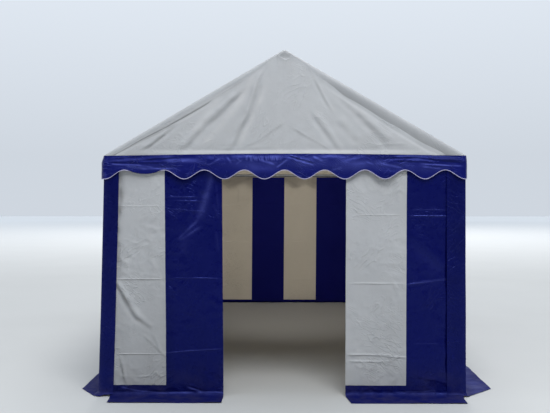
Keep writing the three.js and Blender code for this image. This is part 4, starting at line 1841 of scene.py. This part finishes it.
    def band_at(self, x: float) -> float:
        """Follow the edge of the turned-down band.

        Args:
            x: Place across the tent.

        Returns:
            How far it is below the gable's top.
        """
        table = self.verge_left if x < 0 else self.verge_right
        fall = between(self.edge_fall, abs(x) / math.cos(PITCH)) * self.edge_radius
        return (between(table, abs(x) / math.cos(PITCH)) + fall) / math.cos(PITCH) - self.gable_drop

    def mouth_edge(self, x: float, top: float) -> float:
        """Give the height of the edge where the front gable's tip is tucked in under the ridge.

        Args:
            x: Place across the tent.
            top: Height to which the gable reaches.

        Returns:
            The height in metres.
        """
        for (low, first), (high, second) in zip(self.mouth, self.mouth[1:]):
            if low <= x <= high:
                return min(top - 0.004, first + (second - first) * (x - low) / (high - low))
        return top - 0.004

    def tip_at(self, side: Side, across: float) -> float:
        """Give how far the foot of a gable tips out over its rail."""
        return self.tip * (1 - smooth((abs(across) / side.half - 0.45) / 0.5)) if side.is_end else 0.0

    def make(self) -> None:
        """Build the cover, the gables and the valance."""
        self.make_cover()
        self.make_gable(Side.FRONT, Relief(7.0, 0.003, 0.0014, FRONT_GABLE_FOLDS))
        self.make_gable(Side.BACK, Relief(8.0, 0.004, 0.0016, BACK_GABLE_FOLDS))
        Valance(self.wardrobe, self).make()


# Folds of the valance's front, across it and up from the ground, with painted highlights and painted shade
# along them
VALANCE_FOLDS = (
    *pleat((-1.4, 1.973), (-1.14, 1.99), 0.005, 0.008, rub=-0.5),
    *pleat((-1.29, 1.949), (-1.0, 1.97), 0.006, 0.009, rub=-0.6),
    *pleat((-1.02, 1.968), (-0.84, 1.987), 0.005, 0.008, rub=-0.45),
    *pleat((-1.42, 1.94), (-1.03, 1.934), 0.005, 0.007, rub=-0.55),
    shade((-1.06, 1.93), (-0.91, 1.939), 0.007, -0.35),
    shade((-1.15, 1.917), (-0.91, 1.9), 0.008, -0.35),
    shade((-1.47, 1.949), (-1.14, 1.966), 0.006, 0.3),
    *pleat((-1.42, 1.926), (-1.2, 1.918), -0.004, 0.007, rub=0.5),
    *pleat((-1.21, 1.918), (-1.09, 1.898), -0.004, 0.007, rub=0.45),
    shade((-1.3, 1.912), (-1.15, 1.888), 0.008, 0.4),
    *pleat((-1.17, 1.887), (-0.91, 1.889), -0.004, 0.008, rub=0.4),
    *pleat((-0.98, 1.952), (-0.66, 1.95), -0.004, 0.022, rub=0.24),
    *pleat((-0.625, 1.918), (-0.53, 1.968), -0.004, 0.008, rub=0.3),
    *pleat((-0.47, 1.98), (-0.44, 1.935), -0.004, 0.009, rub=0.35),
    Fold((-0.56, 1.978), (-0.5, 1.988), 0.003, 0.005, rub=0.3),
    Fold((-0.39, 1.972), (-0.36, 1.945), 0.003, 0.005, rub=0.35),
    shade((-1.5, 1.986), (-0.95, 1.992), 0.018, -0.3),
    shade((-1.5, 1.95), (-1.32, 1.95), 0.03, -0.2),
    shade((1.25, 1.988), (1.5, 1.95), 0.026, -0.3),
    shade((0.75, 1.992), (1.45, 1.984), 0.016, -0.35),
    shade((0.35, 1.99), (0.75, 1.99), 0.016, -0.2),
    shade((0.95, 1.968), (1.5, 1.952), 0.01, -0.25),
    shade((0.45, 1.895), (1.35, 1.885), 0.03, 0.12),
    shade((-1.4, 1.905), (-0.9, 1.9), 0.025, 0.12),
    shade((1.44, 1.93), (1.5, 1.87), 0.03, -0.25),
    *pleat((-0.2, 1.96), (-0.09, 1.925), -0.005, 0.01, rub=0.4),
    *pleat((-0.06, 1.902), (0.02, 1.962), -0.005, 0.009, rub=0.5),
    *pleat((0.045, 1.989), (0.235, 1.94), 0.006, 0.007, rub=-0.6),
    *pleat((0.08, 1.965), (0.235, 1.92), -0.005, 0.008, rub=0.45),
    *pleat((0.24, 1.988), (0.31, 1.958), -0.004, 0.011, rub=0.4),
    shade((0.395, 1.879), (0.47, 1.894), 0.006, 0.5),
    shade((-0.5, 1.93), (0.5, 1.935), 0.05, 0.22),
    *pleat((0.46, 1.95), (0.85, 1.93), -0.003, 0.04, rub=0.26),
    *pleat((0.68, 1.945), (0.73, 1.92), -0.005, 0.008, rub=0.35),
    *pleat((0.79, 1.933), (0.97, 1.897), -0.004, 0.012, rub=0.3),
    shade((0.9, 1.93), (1.16, 1.922), 0.02, 0.15),
    *pleat((0.77, 1.972), (1.09, 1.985), 0.005, 0.009, rub=-0.5),
    *pleat((1.07, 1.985), (1.23, 1.965), 0.005, 0.009, rub=-0.5),
    *pleat((1.2, 1.968), (1.5, 1.938), 0.005, 0.013, rub=-0.55),
    *pleat((0.9, 1.953), (1.28, 1.939), 0.005, 0.006, rub=-0.5),
    *pleat((1.14, 1.926), (1.44, 1.911), -0.005, 0.006, rub=0.6),
    *pleat((1.14, 1.905), (1.28, 1.89), -0.004, 0.007, rub=0.5),
)


@dataclass
class Valance:
    """The wavy strip that hangs round the eaves, with a binding along its edge.

    Attributes:
        wardrobe: The tent's finishes.
        roof: The roof that it hangs from.
        notch: Depth of the strip between two lobes, from the eave.
        lobe: Depth of the strip at a lobe.
        wave: Distance from lobe to lobe.
        wear_and_painted_light: How strongly the painted highlights and painted shade of its folds are laid
            on.
        corner: Radius of its corners.
        flare: How far it stands out under its seam, on each side.
        tape: Width of the binding.
        tape_rise: How far the binding stands out.
        tucked: Middle of the front's lobe that is turned in, across the front.
        tuck_line: Height of that turn at its middle.
        tuck_radius: Radius of that turn.
        reliefs: How the strip stands from its flat place, on each side.
    """

    wardrobe: Wardrobe
    roof: Roof
    notch: float = 0.124
    lobe: float = 0.198
    wave: float = 1 / 3
    wear_and_painted_light: float = 1.5
    corner: float = 0.013
    flare: dict[Side, float] = field(
        default_factory=lambda: {Side.FRONT: 0.014, Side.RIGHT: 0.006, Side.BACK: 0.014, Side.LEFT: 0.018}
    )
    tape: float = 0.0044
    tape_rise: float = 0.001
    tucked: float = -1.155
    tuck_line: float = 1.852
    tuck_radius: float = 0.008
    reliefs: dict[Side, Relief] = field(init=False)

    def __post_init__(self) -> None:
        """Set the folds of each side."""
        front = (*self.gathers(), *self.small_creases(), *VALANCE_FOLDS)
        self.reliefs = {
            side: Relief(11.0 + i, 0.01, 0.003, front if side is Side.FRONT else (), 0.13, 0.06, 2.6)
            for i, side in enumerate(Side)
        }

    @staticmethod
    def gathers() -> list[Fold]:
        """Gather the strip at its seam, just left of the front's middle, with a highlight painted on each
        gather.

        Returns:
            The folds.
        """
        found = []
        for i in range(22):
            x, shift = -0.315 + 0.0142 * i, noise.noise(Vector((i * 1.7, 3.3, 0)))
            foot = (x + 0.004 + 0.03 * shift, 1.958 - 0.016 * abs(noise.noise(Vector((i * 2.3, 8, 0)))))
            found.append(Fold((x, 1.994), foot, 0.003, 0.0042, rub=0.55 + 0.6 * shift))
        return found

    @staticmethod
    def small_creases() -> list[Fold]:
        """Scatter small creases with painted highlights over the front, and paint shade on its lobes.

        Returns:
            The folds.
        """
        found = []
        for i in range(28):
            chance = [noise.noise(Vector((i * 3.1, j * 5.7, 1.3))) for j in range(5)]
            x, z = -0.95 + 0.075 * i + 0.06 * chance[0], 1.938 + 0.06 * chance[1]
            dx = 0.022 + 0.02 * chance[2]
            dz = dx * (0.35 + 1.2 * chance[3])
            rub = 0.12 + 0.3 * chance[4]
            found.append(Fold((x - dx, z - dz), (x + dx, z + dz), 0.0016, 0.0048, rub=rub))
        lobes = (-0.83, -0.5, -0.17, 0.17, 0.83)
        return found + [shade((x - 0.05, 1.822), (x + 0.05, 1.822), 0.028, -0.35) for x in lobes]

    def half(self, side: Side) -> float:
        """Half the length of a side of the strip, to the middle of its rounded corner."""
        return side.half - self.corner + self.corner * math.pi / 4

    def height(self, side: Side, across: float, share: float) -> float:
        """Give the height of a point of the strip, whose edge is wavy.

        Args:
            side: The side that it hangs on.
            across: Place across that side.
            share: How far down the strip it is, from 0 to 1.

        Returns:
            The height in metres.
        """
        nominal = HALF_WIDTH if side.is_end else HALF_LENGTH
        phase = 2 * math.pi * (across / self.half(side) * nominal + nominal) / self.wave
        depth = (self.notch + self.lobe) / 2 + (self.lobe - self.notch) / 2 * math.cos(phase)
        top = self.roof.seam_line(side, across)
        return top - share * (top - EAVE + depth)

    def around(
        self, side: Side, across: float, share: float, over: float = 0.0, below: float = 0.0
    ) -> Vector:
        """Place a point of the strip.

        Args:
            side: The side that it hangs on.
            across: Place across that side.
            share: How far down the strip it is, from 0 to 1.
            over: How far it stands out from the cloth.
            below: How far it is below its place.

        Returns:
            The point on the tent.
        """
        up = self.height(side, across, share) - below
        spot, outward = side.around(across, self.corner)
        end = smooth((self.half(side) - abs(across)) / 0.06)
        wrinkle = self.reliefs[side].at(across, up) * (0.25 + 0.75 * end)
        flare = self.flare[side] * smooth(share * 3)
        out = VALANCE_OUT + self.roof.tip_at(side, across) * (1 - 0.5 * share) + flare + over
        if side is Side.FRONT and abs(across - self.tucked) < 0.13:
            past = self.tuck_line + 1.6 * (across - self.tucked) ** 2 - up
            if past > 0:
                turned = min(past / self.tuck_radius, math.pi)
                rolled = self.tuck_radius * (turned - math.sin(turned))
                up += rolled + 2 * max(0.0, past - math.pi * self.tuck_radius)
                out -= self.tuck_radius * (1 - math.cos(turned))
        return spot + outward * (out + wrinkle * smooth(share * 5)) + Vector((0, 0, up))

    def valance_painted_light_at(self, side: Side, across: float, share: float) -> Spot:
        """Give how much painted highlight and painted shade a point of the strip has, each from 0 to 1."""
        painted_highlight, dull_and_painted_shade = self.reliefs[side].rub_at(across, self.height(side, across, share))
        return min(0.95, painted_highlight * self.wear_and_painted_light), min(1.0, dull_and_painted_shade * self.wear_and_painted_light)

    def columns(self) -> list[tuple[Side, float]]:
        """List the strip's columns right round the tent.

        Returns:
            Each column's side, and its place across that side.
        """
        found = []
        for side in Side:
            half = self.half(side)
            marks = [s * (side.half - self.corner) for s in (-1, 1)]
            if side is Side.FRONT:
                marks += ticks(-0.33, 0.0, 0.0048)
            places = ticks(-half, half, 0.0085 if side is Side.FRONT else 0.02, marks)
            found += [(side, place) for place in places[:-1]]
        return found

    def make(self) -> None:
        """Build the strip and its binding."""
        columns = self.columns()
        columns.append(columns[0])
        marks = [float(i) for i in range(len(columns))]
        strip = Cut(
            "valance_cloth", marks, ticks(0.0, 1.0, 0.042),
            lambda index, share: self.around(*columns[round(index)], share), self.wardrobe.gloss_blue,
            self.wardrobe.blue_inside,
            seams=lambda index, share: (self.lobe * (1 - share) - self.tape - 0.001, 0.01 * index),
            painted_light_map=lambda index, share: self.valance_painted_light_at(*columns[round(index)], share), closed=True,
        )
        piece = strip.hang()
        self.lay_out(piece)
        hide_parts("valance")
        rise, tape, under = self.tape_rise, self.tape, -self.tape_rise - CLOTH
        loop = [(rise, -tape), (rise + 0.0005, 0.0), (rise * 0.3, rise), (under, 0.0), (under, -tape)]
        loop.append(loop[0])
        binding = Cut(
            "valance_binding", marks, [float(i) for i in range(len(loop))],
            lambda index, step: self.around(*columns[round(index)], 1.0, *loop[round(step)]),
            self.wardrobe.binding, self.wardrobe.binding, closed=True,
        )
        edge = self.bind(binding)
        length = 4 * (HALF_WIDTH + HALF_LENGTH)
        LOG.info("%s: flat %.2f by %.3f m", piece.name, length, self.lobe)

    def bind(self, binding: Cut) -> bpy.types.Object:
        """Build the tape that is folded over the strip's edge.

        Args:
            binding: The tape's flat cut.

        Returns:
            The tape.
        """
        tape = binding.lay_flat()
        for vert in tape.verts:
            vert.co = binding.place(vert.co.x, vert.co.y)
        bmesh.ops.remove_doubles(tape, verts=tape.verts, dist=1e-5)
        bmesh.ops.recalc_face_normals(tape, faces=tape.faces)
        piece = as_object(binding.name, tape, (binding.outside,))
        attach(piece, "root")
        self.lay_out(piece)
        soften(piece.data)
        report(piece)
        return piece

    def lay_out(self, piece: bpy.types.Object) -> None:
        """Give the ring's cut its real lengths, which its columns don't have.

        Args:
            piece: The strip or its tape.
        """
        chart = piece.data.uv_layers["cut"].data
        mean = 4 * (HALF_WIDTH + HALF_LENGTH) / len(self.columns())
        for loop in chart:
            loop.uv = (loop.uv.x * mean, loop.uv.y * self.lobe)


# Frame


@dataclass
class TubeFrame:
    """The steel frame: its solids get their finish, and its joints get their locking bolts.

    Attributes:
        wardrobe: The tent's finishes.
        short_hold: Distance of a bolt from the middle of its joint, on a short sleeve.
        long_hold: The same on a long sleeve.
        head: Radius of a bolt's head.
        washer: Radius of its washer.
        cover_gap: Distance of the sleeves from the roof's outer face.
    """

    wardrobe: Wardrobe
    short_hold: float = 0.07
    long_hold: float = 0.125
    head: float = 0.0075
    washer: float = 0.0095
    cover_gap: float = 0.0033

    def bolt(self, shape: bmesh.types.BMesh, centre: Vector, way: Vector) -> None:
        """Add a bolt with a hexagon head and a washer.

        Args:
            shape: The shape that it is added to.
            centre: Middle of the sleeve that it goes into.
            way: Direction of its head.
        """
        turn = way.to_track_quat("Z", "Y").to_matrix().to_4x4()
        for radius, start, depth, sides in ((self.washer, 0.0, 0.0016, 14), (self.head, 0.0016, 0.005, 6)):
            at = centre + way * (SLEEVE_RADIUS - 0.0008 + start + depth / 2)
            ring = bmesh.ops.create_cone(
                shape, cap_ends=True, segments=sides, radius1=radius, radius2=radius, depth=depth,
                matrix=Matrix.Translation(at) @ turn,
            )
            edges = list(dict.fromkeys(edge for vert in ring["verts"] for edge in vert.link_edges))
            bmesh.ops.bevel(
                shape, geom=edges, offset=0.0005, affect="EDGES", segments=2, profile=0.5, material=-1,
            )

    def make_bolts(self) -> None:
        """Build a locking bolt for every tube in every joint."""
        shape = bmesh.new()
        inset = self.cover_gap + SLEEVE_RADIUS
        leg_x = FRAME_X - LEG_INSET
        ridge = EAVE + HALF_WIDTH * math.tan(PITCH) - inset / math.cos(PITCH)
        eave = EAVE + (HALF_WIDTH - leg_x) * math.tan(PITCH) - inset / math.cos(PITCH)
        for index, y in enumerate(FRAME_STATIONS):
            lengthwise = [way for way, there in ((1, index < 2), (-1, index > 0)) if there]
            for side in (-1, 1):
                slope = Vector((side * math.cos(PITCH), 0, -math.sin(PITCH)))
                under = Vector((-side * math.sin(PITCH), 0, -math.cos(PITCH)))
                top, foot = Vector((0, y, ridge)), Vector((side * leg_x, y, eave))
                self.bolt(shape, top + slope * self.short_hold, under)
                self.bolt(shape, foot - slope * self.long_hold, under)
                self.bolt(shape, foot - Vector((0, 0, self.short_hold)), Vector((-side, 0, 0)))
                for way in lengthwise:
                    self.bolt(shape, foot + Vector((0, way * self.short_hold, 0)), Vector((-side, 0, 0)))
                if index != 1:
                    inward = Vector((0, 1.0 if index == 0 else -1.0, 0))
                    self.bolt(shape, foot - Vector((side * self.long_hold, 0, 0)), inward)
            for way in lengthwise:
                self.bolt(shape, Vector((0, y + way * self.short_hold, ridge)), Vector((0, 0, -1)))
        piece = as_object("joint_bolts", shape, (self.wardrobe.joint,))
        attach(piece, "root")
        report(piece)

    def make(self, nodes: Iterable[bpy.types.Object]) -> None:
        """Give the frame's solids their zinc, and add the bolts.

        Args:
            nodes: The solids of the part.
        """
        for node in nodes:
            is_joint = "joint" in node.name
            for slot in node.material_slots:
                slot.material = self.wardrobe.joint if is_joint else self.wardrobe.tube
        self.make_bolts()


# Studio


@dataclass
class Studio:
    """The plain floor, the soft lights and the camera.

    Attributes:
        focal: Distance of the picture from the lens, in pixels.
        width: Width of the picture in pixels.
        height: Height of the picture in pixels.
        vanishing: Where the tent's long lines meet in the picture.
        eye: Height of the lens.
        distance: Distance of the lens from the tent's front.
        sensor: Width of the picture behind the lens, in millimetres.
        front_air: Light of the air straight in front of the tent.
        side_air: Light of the air beside that.
        back_air: Light that the air gains towards the back.
        top_air: Light that it gains upwards.
    """

    focal: float = 813.0
    width: int = 550
    height: int = 413
    vanishing: tuple[float, float] = (284.5, 197.0)
    eye: float = 1.655
    distance: float = 6.72
    sensor: float = 36.0
    front_air: float = 0.03
    side_air: float = 0.24
    back_air: float = 0.5
    top_air: float = 0.36

    def make_floor(self) -> None:
        """Lay the floor."""
        shape = bmesh.new()
        bmesh.ops.create_grid(shape, x_segments=8, y_segments=8, size=60.0)
        paint = StudioFloor("studio_floor", linear(190, 191, 190), (0.95, 0.97, 0.98)).make()
        as_object("studio_floor", shape, (paint,))

    def make_world(self) -> None:
        """Light the air round the tent, darkest in front of it."""
        world = bpy.data.worlds.new("studio_air")
        world.use_nodes = True
        nodes = Nodes(world.node_tree)
        axes = nodes.node("SeparateXYZ", {0: nodes.node("TexCoord").outputs["Generated"]}).outputs
        front = nodes.spread(axes["Y"], -0.97, -0.75, self.front_air, self.side_air)
        back = nodes.spread(axes["Y"], -0.75, 0.5, 0.0, self.back_air)
        top = nodes.spread(axes["Z"], 0.05, 0.5, 0.0, self.top_air)
        strength = nodes.sum("ADD", nodes.sum("ADD", front, back), top)
        nodes.feed(nodes.tree.nodes["Background"], {"Color": (0.84, 0.91, 1.0), "Strength": strength})
        bpy.context.scene.world = world

    def add_light(
        self, name: str, spot: Vector, target: Vector, size: float, power: float, colour: Colour,
        spread: float = 180,
    ) -> None:
        """Hang a soft lamp.

        Args:
            name: Its name.
            spot: Where it hangs.
            target: What it points at.
            size: Width of its panel.
            power: Its power in watts.
            colour: Its colour.
            spread: Width of its beam in degrees.
        """
        lamp = bpy.data.lights.new(name, "AREA")
        lamp.size = size
        lamp.energy = power
        lamp.color = colour
        lamp.spread = math.radians(spread)
        holder = bpy.data.objects.new(name, lamp)
        holder.location = spot
        holder.rotation_euler = (target - spot).to_track_quat("-Z", "Y").to_euler()
        bpy.context.scene.collection.objects.link(holder)

    def make_camera(self) -> None:
        """Set the camera where the picture was taken from."""
        data = bpy.data.cameras.new("camera")
        data.sensor_width = self.sensor
        data.lens = self.focal / self.width * self.sensor
        data.clip_end = 200
        camera = bpy.data.objects.new("camera", data)
        camera.location = (0, -HALF_LENGTH - self.distance, self.eye)
        yaw = math.atan((self.vanishing[0] - self.width / 2) / self.focal)
        pitch = math.atan((self.height / 2 - self.vanishing[1]) / self.focal)
        camera.rotation_euler = (math.pi / 2 - pitch, 0, yaw)
        bpy.context.scene.collection.objects.link(camera)
        bpy.context.scene.camera = camera

    def make(self) -> None:
        """Set up the studio."""
        bpy.context.scene.view_settings.view_transform = "Standard"
        self.make_floor()
        self.make_world()
        middle = Vector((0, -1, 1.2))
        self.add_light("key_lamp", Vector((1.0, -8, 9)), middle, 4.0, 620.0, (0.97, 0.985, 1))
        self.add_light("back_lamp", Vector((2, 26, 23)), middle, 13.0, 5600.0, (1, 0.98, 0.95))
        room = Vector((0, 2.9, 1.45))
        self.add_light("room_lamp", Vector((0, -2.4, 2.25)), room, 0.8, 18.0, (1, 0.97, 0.92), 80)
        self.make_camera()


def main() -> None:
    """Build the tent's looks, piece by piece."""
    logging.basicConfig(level=logging.INFO, format="%(name)s: %(message)s")
    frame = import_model()
    wardrobe = Wardrobe()
    Studio().make()
    TubeFrame(wardrobe).make(frame["nodes"].values())
    Walls(wardrobe).make()
    Roof(wardrobe).make()


if __name__ == "__main__":
    main()
